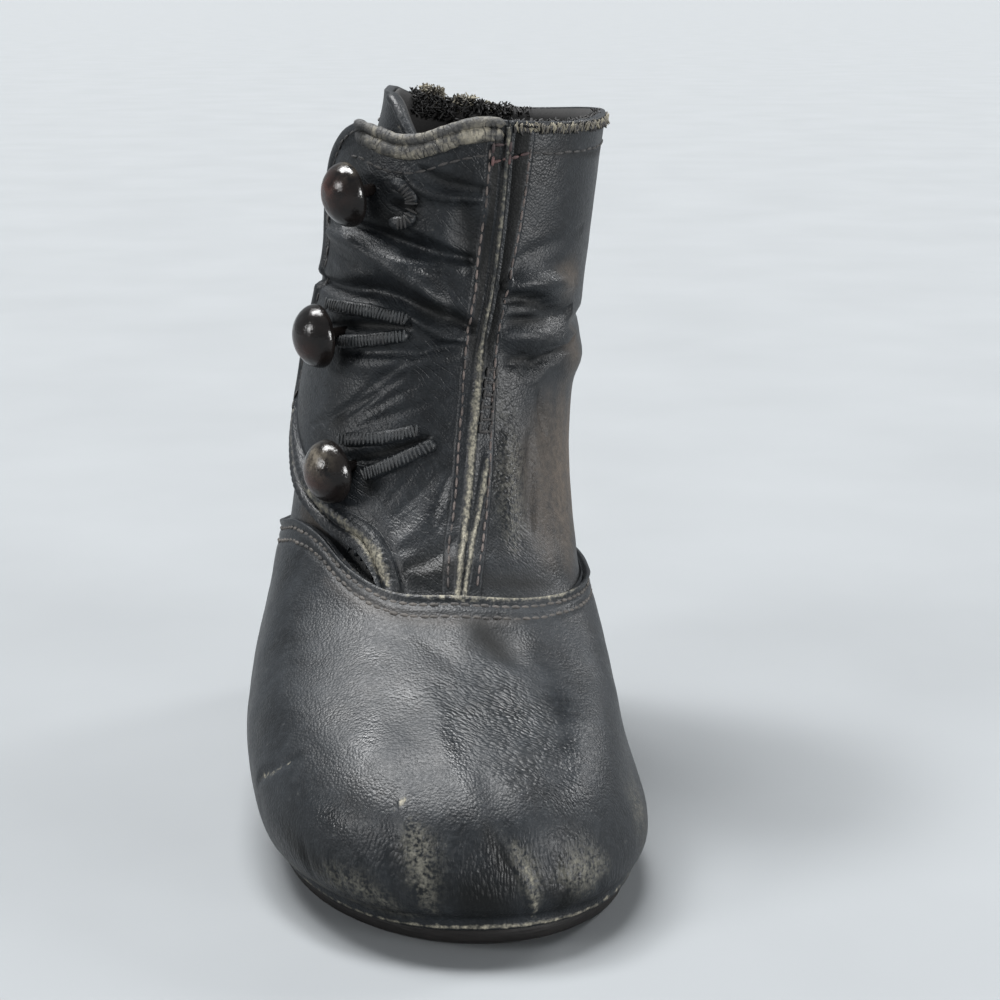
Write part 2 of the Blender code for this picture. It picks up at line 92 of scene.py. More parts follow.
TREAD_RINGS = 3         # rings over which the sole's curve fades out
HALVINGS = 15           # steps that find a height on the last to a few microns
COLUMN_UNITS = {
    "front": LENGTH, "back": LENGTH, "wide_lateral": LENGTH, "wide_medial": LENGTH,
    "front_up": SHAFT_HEIGHT, "back_up": SHAFT_HEIGHT,
    "lateral": BALL_WIDTH, "medial": BALL_WIDTH,
    "front_x": BALL_WIDTH, "middle_x": BALL_WIDTH, "back_x": BALL_WIDTH,
}
TABLE = {
    name: np.array([getattr(row, name) for row in SECTIONS])
    * (COLUMN_UNITS[name] * PERCENT if name in COLUMN_UNITS else 1.0)
    for name in Section._fields
}
print("rings of the last:", len(SECTIONS))

# %% The last as a function, in millimetres
def cubic(share, start, end, slope, end_slope):
    """A cubic curve from start to end, with a slope at each."""
    square, cube = share ** 2, share ** 3
    return ((2 * cube - 3 * square + 1) * start + (cube - 2 * square + share) * slope
            + (3 * square - 2 * cube) * end + (cube - square) * end_slope)


def through_rows(values, ring):
    """A smooth curve through the table's rows, read at a ring number."""
    low = np.minimum(ring.astype(int), TOP_RING - 1)
    start, end = values[low], values[low + 1]
    before = np.where(low > 0, values[np.maximum(low - 1, 0)], 2 * start - end)
    after = np.where(low < TOP_RING - 1, values[np.minimum(low + 2, TOP_RING)], 2 * end - start)
    return cubic(ring - low, start, end, (end - before) / 2, (after - start) / 2)


def tread_height(along):
    """The underside of the sole: flat at heel and forefoot, with an arch and a toe spring."""
    spring = np.clip((SPRING_START - along) / (SPRING_START + LENGTH / 2), 0.0, None)
    arch = np.clip((along - ARCH_START) / (ARCH_END - ARCH_START), 0.0, 1.0)
    return TOE_SPRING * spring ** 2 + ARCH_RISE * np.sin(np.pi * arch) ** 2


def last_point(angle, ring):
    """The quarters' outer surface, as an array of points."""
    angle, ring = np.broadcast_arrays(np.asarray(angle, float), np.asarray(ring, float))
    ring = np.clip(ring, 0.0, TOP_RING)
    row = {name: through_rows(values, ring) for name, values in TABLE.items()}
    cosine = np.cos(np.radians(angle))
    sine = np.sin(np.radians(angle))
    widest = np.where(sine >= 0, row["wide_medial"], row["wide_lateral"])
    half = np.where(sine >= 0, row["medial"], row["lateral"])
    power = 2 / np.where(cosine >= 0, row["front_square"], row["back_square"])
    reach = np.where(cosine >= 0, row["front"], row["back"]) - widest
    along = widest + reach * np.abs(cosine) ** power
    share = (along - row["front"]) / (row["back"] - row["front"])
    middle = (row["front_x"] * (1 - share) ** 2 + 2 * row["middle_x"] * share * (1 - share)
              + row["back_x"] * share ** 2)
    across = middle + np.sign(sine) * half * np.abs(sine) ** power - BOX_MIDDLE_X
    up = row["front_up"] + (row["back_up"] - row["front_up"]) * share
    up = up + tread_height(along) * np.clip(1 - ring / TREAD_RINGS, 0.0, 1.0)
    return np.stack([across, along, up], -1)


def outward(angle, ring):
    """The unit normal of the last, pointing out of the boot."""
    angle, ring = np.broadcast_arrays(np.asarray(angle, float), np.asarray(ring, float))
    turn, climb = 0.4, 0.02     # degrees and rings, small against any curve of the boot
    around = last_point(angle + turn, ring) - last_point(angle - turn, ring)
    upward = last_point(angle, ring + climb) - last_point(angle, ring - climb)
    normal = np.cross(around, upward)
    return normal / np.linalg.norm(normal, axis=-1, keepdims=True)


def ring_at(angle, height):
    """The ring that passes each angle at each height, found by halving."""
    angle, height = np.broadcast_arrays(np.asarray(angle, float), np.asarray(height, float))
    low = np.zeros(angle.shape)
    high = np.full(angle.shape, float(TOP_RING))
    for _ in range(HALVINGS):
        middle = (low + high) / 2
        too_low = last_point(angle, middle)[..., 2] < height
        low = np.where(too_low, middle, low)
        high = np.where(too_low, high, middle)
    return (low + high) / 2


print("toe of the last, mm:", last_point(0.0, 1.0).round(1))

# %% [markdown]
# ## The edges of the panels
# The boot is sewn from a vamp, which runs all the way round the foot, two quarters and a button
# flap. Each edge is a table of angles and heights, read as a smooth curve, the same numbers that
# the solids were cut with.

# %% Edges as angles and heights
EdgePoint = namedtuple("EdgePoint", "angle height")
VAMP_LINE = (
    EdgePoint(-180, 33.0), EdgePoint(-140, 34.0), EdgePoint(-108, 37.0), EdgePoint(-80, 40.6),
    EdgePoint(-62, 42.0), EdgePoint(-44, 41.0), EdgePoint(-31, 38.0), EdgePoint(-17, 35.8),
    EdgePoint(9, 35.0), EdgePoint(49, 34.0), EdgePoint(70, 34.1), EdgePoint(92, 34.0),
    EdgePoint(125, 32.6), EdgePoint(180, 33.0),
)
# On the outer quarter the collar slopes down behind the flap
COLLAR_LINE = (
    EdgePoint(10, 100.8), EdgePoint(35, 100.5), EdgePoint(62, 100.6), EdgePoint(90, 101.0),
    EdgePoint(110, 100.6), EdgePoint(130, 100.2), EdgePoint(155, 100.0), EdgePoint(180, 100.6),
    EdgePoint(215, 102.6), EdgePoint(245, 104.0), EdgePoint(270, 104.4), EdgePoint(295, 104.3),
    EdgePoint(312, 104.2), EdgePoint(320, 103.3), EdgePoint(330, 100.5), EdgePoint(340, 97.2),
    EdgePoint(352, 94.8), EdgePoint(371, 94.0),
)
FLAP_EDGE = (
    EdgePoint(-17.5, 36.3), EdgePoint(-21.5, 39.6), EdgePoint(-27, 41.6), EdgePoint(-40, 43.2),
    EdgePoint(-56, 46.0), EdgePoint(-70, 49.6), EdgePoint(-82, 53.5), EdgePoint(-88, 58.0),
    EdgePoint(-87, 63.0), EdgePoint(-80, 69.5), EdgePoint(-73, 76.0), EdgePoint(-71, 81.5),
    EdgePoint(-74, 87.0), EdgePoint(-76, 91.5), EdgePoint(-71, 95.4), EdgePoint(-60, 98.6),
    EdgePoint(-48, 100.3),
)
FLAP_TOP_LINE = (
    EdgePoint(-48, 100.3), EdgePoint(-36.5, 99.3), EdgePoint(-26.5, 98.5), EdgePoint(-18, 98.7),
    EdgePoint(-10, 99.7), EdgePoint(-4, 100.6), EdgePoint(2, 101.1), EdgePoint(10.2, 100.9),
)
print("points on the flap's edge:", len(FLAP_EDGE))

# %% Reading an edge as a smooth curve
def smooth_curve(places, values, at):
    """A smooth curve through values at given places, read at other places."""
    slopes = np.gradient(values, places)
    low = np.clip(np.searchsorted(places, at) - 1, 0, len(places) - 2)
    span = places[low + 1] - places[low]
    return cubic((at - places[low]) / span, values[low], values[low + 1],
                 span * slopes[low], span * slopes[low + 1])


def edge_columns(edge):
    """An edge table's angles in degrees and heights in millimetres."""
    table = np.array(edge, float)
    return table[:, 0], table[:, 1] * PERCENT * SHAFT_HEIGHT


def edge_height(edge, angle):
    angles, heights = edge_columns(edge)
    return smooth_curve(angles, heights, angle)


def smooth_step(low, high, value):
    """0 below low, 1 above high, and a soft ramp between."""
    share = np.clip((value - low) / (high - low), 0.0, 1.0)
    return share * share * (3 - 2 * share)


def wrapped(angle):
    """The same direction between -180 and 180 degrees."""
    return (np.asarray(angle, float) + 180.0) % 360.0 - 180.0


def vamp_height(angle):
    return edge_height(VAMP_LINE, wrapped(angle))


def collar_height(angle):
    start = COLLAR_LINE[0].angle
    return edge_height(COLLAR_LINE, (np.asarray(angle, float) - start) % 360.0 + start)


print("vamp line at the throat, mm:", vamp_height(np.array([0.0])).round(1))

# %% [markdown]
# ## Creases and marks
# Kid leather keeps the folds of the foot that wore it. Each main crease is laid as a path on the
# boot, with a width and a height in millimetres: a ridge where it stands up, a trough where it
# sinks. A simulation would put folds somewhere, but not where this boot has them. The same paths,
# with an amount instead of a height, paint wear, dust, scuffs, painted shade and a painted sheen
# as mesh attributes.

# %% Paths on the boot and how far a point is from them
Fold = namedtuple("Fold", "path width height")
Mark = namedtuple("Mark", "path width amount")
Roll = namedtuple("Roll", "inset width height")     # a roll or groove along an edge, inset from it
Wave = namedtuple("Wave", "height length")
FOLD_PULL = 0.3             # how much the leather beside a fold sinks
WAVE_COUNT = 14


def path_places(path, count):
    """Angles and heights along a smooth line through pairs of angle and height."""
    table = np.array(path, float)
    places = np.arange(len(table), dtype=float)
    at = np.linspace(0.0, len(table) - 1.0, count)
    return smooth_curve(places, table[:, 0], at), smooth_curve(places, table[:, 1], at)


def boot_path(path, count=18):
    """The same line as points on the last."""
    angles, heights = path_places(path, count)
    return last_point(angles, ring_at(angles, heights))


def path_distance(points, line):
    """Each point's distance to a line of points, and where along it the nearest spot is, 0 to 1."""
    nearest = np.full(len(points), np.inf)
    share = np.zeros(len(points))
    for k in range(len(line) - 1):
        step = line[k + 1] - line[k]
        along = np.clip((points - line[k]) @ step / (step @ step), 0.0, 1.0)
        away = np.linalg.norm(points - line[k] - along[:, None] * step, axis=1)
        closer = away < nearest
        nearest[closer] = away[closer]
        share[closer] = (k + along[closer]) / (len(line) - 1)
    return nearest, share


def near_path(points, path, width, pull=0.0):
    """A soft band along a path: 1 on it, fading to 0 over its width, thinner at its ends. With a
    pull, a band twice as wide is taken off again, as leather sinks beside a fold."""
    line = boot_path(path)
    reach = (3.0 if pull == 0.0 else 5.0) * width
    close = np.all((points > line.min(0) - reach) & (points < line.max(0) + reach), axis=1)
    band = np.zeros(len(points))
    away, share = path_distance(points[close], line)
    taper = 0.45 + 0.55 * np.sin(np.pi * share) ** 0.7
    away = away / (width * taper)
    band[close] = ((1 + pull) * np.exp(-away ** 2) - pull * np.exp(-(away / 2) ** 2)) * taper
    return band


print("points on a path round the vamp:", len(boot_path(VAMP_LINE)))

# %% Folds, marks, rolls and waves on the leather
def relief(points, folds):
    """The height of all folds at each point."""
    total = np.zeros(len(points))
    for fold in folds:
        total += fold.height * near_path(points, fold.path, fold.width, FOLD_PULL)
    return total


def painted(points, marks):
    """How strongly a mark covers each point, from 0 to its amount."""
    total = np.zeros(len(points))
    for mark in marks:
        total = np.maximum(total, mark.amount * near_path(points, mark.path, mark.width))
    return total


def marks_on(points, tables):
    """Every kind of mark at each point, from a table of marks for each kind."""
    return {kind: painted(points, marks) for kind, marks in tables.items()}


def rolled(inset, rolls):
    """The height of rolls and grooves at each distance from an edge."""
    return sum(roll.height * np.exp(-((inset - roll.inset) / roll.width) ** 2) for roll in rolls)


WAVES = random.normal(size=(WAVE_COUNT, 3))
WAVES /= np.linalg.norm(WAVES, axis=1, keepdims=True)
WAVE_PHASES = random.uniform(0.0, 2 * np.pi, WAVE_COUNT)


def rumple(points, waves):
    """Slow unevenness, as old leather has, from waves that cross the boot in all directions."""
    total = np.zeros(len(points))
    for wave in waves:
        lengths = wave.length * np.linspace(0.7, 1.6, WAVE_COUNT)
        total += wave.height * np.sin(2 * np.pi * (points @ WAVES.T) / lengths + WAVE_PHASES).mean(axis=1)
    return total


print("waves for unevenness:", len(WAVES))

# %% [markdown]
# ## A sheet of leather
# Every panel is a flat grid of squares, bent by a place function that turns grid shares into points
# on the boot. The bmesh operator makes the grid and its UV map, so no faces are listed by hand.
# Marks ride along as vertex attributes, and a Solidify modifier gives the sheet its thickness.

# %% Bending a grid over the boot
CLOSE = 0.02                # millimetres between corners that are joined when a sheet is closed


def bent_sheet(name, columns, rows, place, material, closed=False, uv_size=(1.0, 1.0)):
    """A grid bent by place(u, w), which gives points in millimetres and named marks."""
    bm = bmesh.new()
    bm.loops.layers.uv.new("UVMap")
    bmesh.ops.create_grid(bm, x_segments=columns, y_segments=rows, size=0.5, calc_uvs=True)
    flat = np.array([vert.co for vert in bm.verts]) + 0.5
    points, marks = place(flat[:, 0], flat[:, 1])
    for vert, point in zip(bm.verts, points):
        vert.co = point * MM
    for mark, amounts in marks.items():
        layer = bm.verts.layers.float.new(mark)
        for vert, amount in zip(bm.verts, amounts):
            vert[layer] = amount
    if uv_size != (1.0, 1.0):
        layer = bm.loops.layers.uv["UVMap"]
        size = Vector(uv_size)
        for face in bm.faces:
            for corner in face.loops:
                corner[layer].uv *= size
    if closed:
        bmesh.ops.remove_doubles(bm, verts=bm.verts, dist=CLOSE * MM)
    return finished(name, bm, material, recalculate=closed)


def finished(name, bm, material, recalculate=False):
    """Turns a bmesh into a smooth piece that rides with the boot, in a material."""
    if recalculate:
        bmesh.ops.recalc_face_normals(bm, faces=bm.faces)
    mesh = bpy.data.meshes.new(name)
    bm.to_mesh(mesh)
    bm.free()
    mesh.shade_smooth()
    mesh.materials.append(material)
    piece = bpy.data.objects.new(name, mesh)
    bpy.context.scene.collection.objects.link(piece)
    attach(piece, "root")
    print("made", name, "with", len(mesh.polygons), "faces")
    return piece


def thicken(piece, thickness):
    """Leather thickness in millimetres, grown inwards from the sheet."""
    wall = piece.modifiers.new("thickness", "SOLIDIFY")
    wall.thickness = thickness * MM
    wall.offset = -1.0


def crowded(share, ends):
    """Shares from 0 to 1 that stand closer together at both ends, where edges need fine rows."""
    return (1 - ends) * share + ends * (1 - np.cos(np.pi * share)) / 2


print("sheets are bent from bmesh grids")

# %% [markdown]
# ## Materials
# One small function adds a node, sets it up and links it; a table says what each kind of node needs.
# Colours are sRGB hex values turned to linear light, and every pattern's scale comes from a real size
# in millimetres.

# %% Node and colour helpers
def linear(hex_colour):
    """An sRGB hex value as linear red, green, blue and alpha."""
    parts = [int(hex_colour[k:k + 2], 16) / 255 for k in (1, 3, 5)]
    return [p / 12.92 if p <= 0.04045 else ((p + 0.055) / 1.055) ** 2.4 for p in parts] + [1.0]


# A kind of node: its type, its inputs in the order they are given, the output that is used, settings
Kind = namedtuple("Kind", "type inputs output settings")
KINDS = {
    "place": Kind("TexCoord", (), "Object", {}),
    "uv": Kind("TexCoord", (), "UV", {}),
    "mark": Kind("Attribute", (), "Fac", {}),
    "noise": Kind("TexNoise", ("Vector", "Scale", "Detail", "Roughness"), "Fac", {}),
    "drift": Kind("TexNoise", ("Vector", "Scale"), "Color", {}),
    "cells": Kind("TexVoronoi", ("Vector", "Scale"), "Distance", {"feature": "F1"}),
    "cell_edges": Kind("TexVoronoi", ("Vector", "Scale"), "Distance", {"feature": "DISTANCE_TO_EDGE"}),
    "weave": Kind("TexChecker", ("Vector", "Scale"), "Fac", {}),
    "stretch": Kind("Mapping", ("Vector", "Rotation", "Scale"), 0, {"vector_type": "TEXTURE"}),
    "squeeze": Kind("Mapping", ("Vector", "Scale"), 0, {}),
    "range": Kind("MapRange", ("Value", "From Min", "From Max", "To Min", "To Max"), "Result", {}),
    "mix": Kind("Mix", (0, 6, 7), 2, {"data_type": "RGBA"}),
    "multiply": Kind("Math", (0, 1), 0, {"operation": "MULTIPLY"}),
    "add": Kind("Math", (0, 1), 0, {"operation": "ADD"}),
    "subtract": Kind("Math", (0, 1), 0, {"operation": "SUBTRACT"}),
    "absolute": Kind("Math", (0,), 0, {"operation": "ABSOLUTE"}),
    "multiply_vector": Kind("VectorMath", (0, 1), 0, {"operation": "MULTIPLY"}),
    "add_vector": Kind("VectorMath", (0, 1), 0, {"operation": "ADD"}),
    "bump": Kind("Bump", ("Height", "Distance"), "Normal", {}),
}


def plug(node, inputs):
    """Sets a node's inputs. Each is a value, a hex colour or another node's output."""
    for socket, value in inputs.items():
        if isinstance(value, bpy.types.NodeSocket):
            node.id_data.links.new(value, node.inputs[socket])
        else:
            node.inputs[socket].default_value = linear(value) if isinstance(value, str) else value


print("kinds of node:", len(KINDS))

# %% Adding a node
def add_node(tree, kind, *inputs, **settings):
    """Adds a node with its settings and links, and gives its output."""
    kind = KINDS[kind]
    node = tree.nodes.new("ShaderNode" + kind.type)
    for name, value in {**kind.settings, **settings}.items():
        setattr(node, name, value)
    plug(node, dict(zip(kind.inputs, inputs)))
    return node.outputs[kind.output]


def per_mm(size):
    """The texture scale that gives features of a size in millimetres."""
    return 1.0 / (size * MM)


def new_material(name):
    """A material, the function that adds nodes to it, and its shader."""
    material = bpy.data.materials.new(name)
    material.use_nodes = True
    tree = material.node_tree
    return material, partial(add_node, tree), tree.nodes["Principled BSDF"]


print("scale of a 7 mm pattern:", round(per_mm(7.0), 1))

# %% [markdown]
# ## Glazed kid
# The boot is cut from thin goatskin, dyed black and glazed by rubbing until it shines. Old glaze
# cracks into a fine net, creases run across it, edges rub through to grey and cream, and dust lies
# in places. Painted shade darkens the hollows and creases, and a painted sheen lightens one strip.
# One material serves every leather panel: the marks say where it is worn, dusty or shaded.

# %% Grain, wrinkles and cracks of the leather
# Of these marks, dark paints shade, and the scuff mark also paints a sheen on the inner quarter
KID_MARKS = ("wear", "dust", "scuff_and_sheen", "dark", "polish", "slant", "upright", "cracked")
PEBBLES = 0.36              # size of the grain, and of the wrinkles it is stretched into
WRINKLES = 0.42
WRINKLE_DEPTH = 4.0         # of a wrinkle against a pebble
SLANTED = ((0.0, 0.38, -0.48), (2.2, 1.0, 1.0))     # turn in radians, and stretch
STANDING = ((0.0, 0.0, 0.0), (1.0, 1.3, 2.8))
CRACKED = ((0.0, 0.75, 0.0), (7.0, 3.0, 1.0))
DRIFT = (0.003, 0.003, 0.003)
print("kinds of mark on the leather:", len(KID_MARKS))

# %% The leather material
def glazed_kid(name, index, glossy, matt):
    """Black dyed goatskin with a rubbed glaze of a refractive index: pebbled and finely wrinkled,
    with a roughness that drifts between glossy and matt."""
    material, node, shader = new_material(name)
    place = node("place")
    wear, dust, scuff_and_sheen, dark, polish, slant, upright, cracked = (
        node("mark", attribute_name=mark) for mark in KID_MARKS
    )
    clouds = node("noise", place, per_mm(7.0), 5.0, 0.6)
    fine = node("noise", place, per_mm(1.1), 4.0, 0.65)
    speckle = node("noise", place, per_mm(0.45), 2.0)
    # A slow drift bends the grain, so that its lines wander
    drift = node("add_vector", place, node("multiply_vector", node("drift", place, per_mm(7.0)), DRIFT))
    # The pebbled grain is stretched into fine wrinkles that slant over the vamp or stand round the toe
    grain = node("cells", place, per_mm(PEBBLES))
    for (turn, stretch), share in ((SLANTED, slant), (STANDING, upright)):
        streak = node("cells", node("stretch", drift, turn, stretch), per_mm(WRINKLES))
        change = node("subtract", node("multiply", streak, WRINKLE_DEPTH), grain)
        grain = node("add", grain, node("multiply", change, share))
    # Cracks of the glaze are the thin lines where a stretched noise crosses its middle
    along = node("stretch", drift, *CRACKED)
    middle = node("absolute", node("subtract", node("noise", along, per_mm(1.1), 1.5), 0.5))
    crack = node("multiply", node("range", middle, 0.0, 0.045, 1.0, 0.0), cracked)
    # Colour: dye, then scuffs with a painted sheen on the inner quarter, dust, wear, and near-black
    # painted shade where they are marked
    scuffed_and_sheen = node("multiply", scuff_and_sheen, node("range", node("add", speckle, fine), 0.85, 1.25))
    dusty = node("multiply", dust, node("range", fine, 0.25, 0.6, 0.3, 1.0))
    worn = node("range", node("add", wear, node("range", fine, 0.3, 0.7, -0.35, 0.35)), 0.3, 0.8)
    rubbed = node("mix", node("range", speckle, 0.35, 0.65), "#3d3c37", "#7a7669")
    colour = node("mix", node("range", clouds, 0.3, 0.7), "#0a0c0e", "#181b1e")
    colour = node("mix", node("range", fine, 0.5, 0.75, 0.0, 0.4), colour, "#282b2e")
    colour = node("mix", node("multiply", crack, 0.5), colour, "#050606")
    for share, over in ((scuffed_and_sheen, "#605e55"), (dusty, "#4c443c"), (worn, rubbed), (dark, "#020303")):
        colour = node("mix", share, colour, over)
    # Gloss
    rough = node("range", clouds, 0.3, 0.7, glossy, matt)
    rough = node("add", rough, node("range", speckle, 0.3, 0.7, -0.06, 0.06))
    for share, amount in ((scuffed_and_sheen, 0.2), (dusty, 0.3), (worn, 0.2), (dark, 0.25), (polish, -0.14)):
        rough = node("add", rough, node("multiply", share, amount))
    # Relief in millimetres
    height = node("multiply", grain, -0.055)
    for texture, amount in ((crack, -0.08), (fine, 0.04), (clouds, 0.15)):
        height = node("add", height, node("multiply", texture, amount))
    normal = node("bump", height, MM)
    plug(shader, {"Base Color": colour, "Roughness": rough, "IOR": index, "Normal": normal})
    return material


KID = glazed_kid("glazed_kid_shaft", 1.32, 0.40, 0.52)
VAMP_KID = glazed_kid("glazed_kid_vamp", 1.30, 0.38, 0.52)
print("made", KID.name, "with", len(KID.node_tree.nodes), "nodes")

# %% [markdown]
# ## Other finishes
# Binding tape worn to its cream-grey cloth, linen thread, black cotton lining, dull sole
# leather and the pressed composition of the buttons. Each is small on the boot, so each has only
# the few nodes that its surface needs.

# %% Binding and threads
def worn_binding():
    """Rolled binding rubbed through to grey cloth: short dark cracks cross it from edge to edge."""
    material, node, shader = new_material("worn_edge_binding")
    place = node("place")
    cells = node("cell_edges", node("squeeze", node("uv"), (1.0, 0.2, 1.0)), 1.1)
    patches = node("range", node("noise", place, per_mm(2.5), 3.0), 0.4, 0.6)
    crack = node("multiply", node("range", cells, 0.01, 0.10, 1.0, 0.0), patches)
    clouds = node("noise", place, per_mm(2.6), 4.0, 0.65)
    fibre = node("noise", place, per_mm(0.5), 3.0)
    colour = node("mix", node("range", clouds, 0.44, 0.62), "#232322", "#746f62")
    colour = node("mix", node("range", fibre, 0.45, 0.7, 0.0, 0.6), colour, "#43413d")
    colour = node("mix", node("multiply", crack, 0.9), colour, "#0f0f0f")
    colour = node("mix", node("mark", attribute_name="dark"), colour, "#151617")
    height = node("add", node("multiply", crack, -0.12), node("multiply", fibre, 0.15))
    plug(shader, {"Base Color": colour, "Roughness": 0.7, "Normal": node("bump", height, MM)})
    return material


def linen_thread(name, light, shade):
    """Waxed linen: a dull thread, darker where dirt sits in it."""
    material, node, shader = new_material(name)
    place = node("place")
    colour = node("mix", node("range", node("noise", place, per_mm(2.4), 3.0), 0.35, 0.65), shade, light)
    twist = node("noise", place, per_mm(0.3), 2.0)
    plug(shader, {"Base Color": colour, "Roughness": 0.75, "Normal": node("bump", twist, 0.1 * MM)})
    return material


BINDING = worn_binding()
VAMP_THREAD = linen_thread("linen_thread_brown", "#37332f", "#181614")
SEAM_THREAD = linen_thread("linen_thread_faded", "#554b47", "#272220")
BLACK_THREAD = linen_thread("linen_thread_black", "#2b2928", "#121111")
TACK_THREAD = linen_thread("linen_thread_red", "#4f3533", "#271a1a")
CREAM_THREAD = linen_thread("cotton_thread_cream", "#6d6859", "#33302a")
HOLE_THREAD = linen_thread("silk_buttonhole_twist", "#212426", "#0f1011")
FUZZ = linen_thread("cotton_fuzz_black", "#131212", "#060606")
print("binding and threads:", len(bpy.data.materials))

# %% Lining, sole and buttons
WEAVE = 0.8                 # the cotton's checks, about twice their real size, so that they show


def cotton_lining():
    """Plain-woven cotton, once black, with cream patches where the dye is gone."""
    material, node, shader = new_material("cotton_lining")
    place = node("place")
    weave = node("weave", node("uv"), 1 / WEAVE)
    faded = node("range", node("noise", place, per_mm(1.6), 3.0), 0.4, 0.6)
    bare = node("multiply", node("mark", attribute_name="wear"), faded)
    clouds = node("noise", place, per_mm(6.0), 4.0, 0.6)
    colour = node("mix", node("range", clouds, 0.35, 0.6), "#060606", "#0e0d0d")
    colour = node("mix", bare, colour, "#a39c8b")
    plug(shader, {"Base Color": colour, "Roughness": 0.9, "Normal": node("bump", weave, 0.12 * MM)})
    return material


def sole_leather(name, light, shade):
    """Vegetable-tanned sole leather: dull, with its fibres in thin level layers at the cut edge."""
    material, node, shader = new_material(name)
    place = node("place")
    layers = node("noise", node("squeeze", place, (0.15, 0.15, 1.0)), per_mm(0.5), 3.0)
    clouds = node("noise", place, per_mm(5.0), 5.0, 0.6)
    colour = node("mix", node("range", clouds, 0.3, 0.7), shade, light)
    colour = node("mix", node("range", layers, 0.45, 0.7, 0.0, 0.5), colour, shade)
    height = node("add", node("multiply", layers, 0.12), node("multiply", clouds, 0.2))
    normal = node("bump", height, MM)
    plug(shader, {"Base Color": colour, "Roughness": 0.65, "IOR": 1.3, "Normal": normal})
    return material


LINING = cotton_lining()
OUTSOLE_LEATHER = sole_leather("outsole_leather", "#161413", "#080707")
INSOLE_LEATHER = sole_leather("insole_leather", "#8a6f50", "#4f3c29")


def button_composition():
    """Pressed composition, moulded and japanned black: glossy, with brown grime and dull rubbed spots."""
    material, node, shader = new_material("japanned_composition")
    clouds = node("noise", node("place"), per_mm(2.2), 5.0, 0.65)
    grime = node("multiply", node("mark", attribute_name="dust"), node("range", clouds, 0.35, 0.6))
    rubbed = node("multiply", node("mark", attribute_name="wear"), node("range", clouds, 0.38, 0.58))
    colour = node("mix", node("range", clouds, 0.3, 0.7), "#090808", "#141110")
    rough = node("range", clouds, 0.3, 0.7, 0.10, 0.20)
    for share, over, dulled in ((grime, "#351e18", 0.2), (rubbed, "#5d574c", 0.3)):
        colour = node("mix", share, colour, over)
        rough = node("add", rough, node("multiply", share, dulled))
    normal = node("bump", clouds, 0.15 * MM)
    plug(shader, {"Base Color": colour, "Roughness": rough, "IOR": 1.35, "Normal": normal})
    return material


COMPOSITION = button_composition()
print("materials:", len(bpy.data.materials))

# %% [markdown]
# ## Where the leather has folded
# The shaft has slumped: a thick roll crosses the flap under the top button, two more meet the front
# seam below it, and lines fan out from the lower buttons. The inner quarter has its own folds at the
# ankle. Angles are degrees round the boot, heights millimetres above the floor.

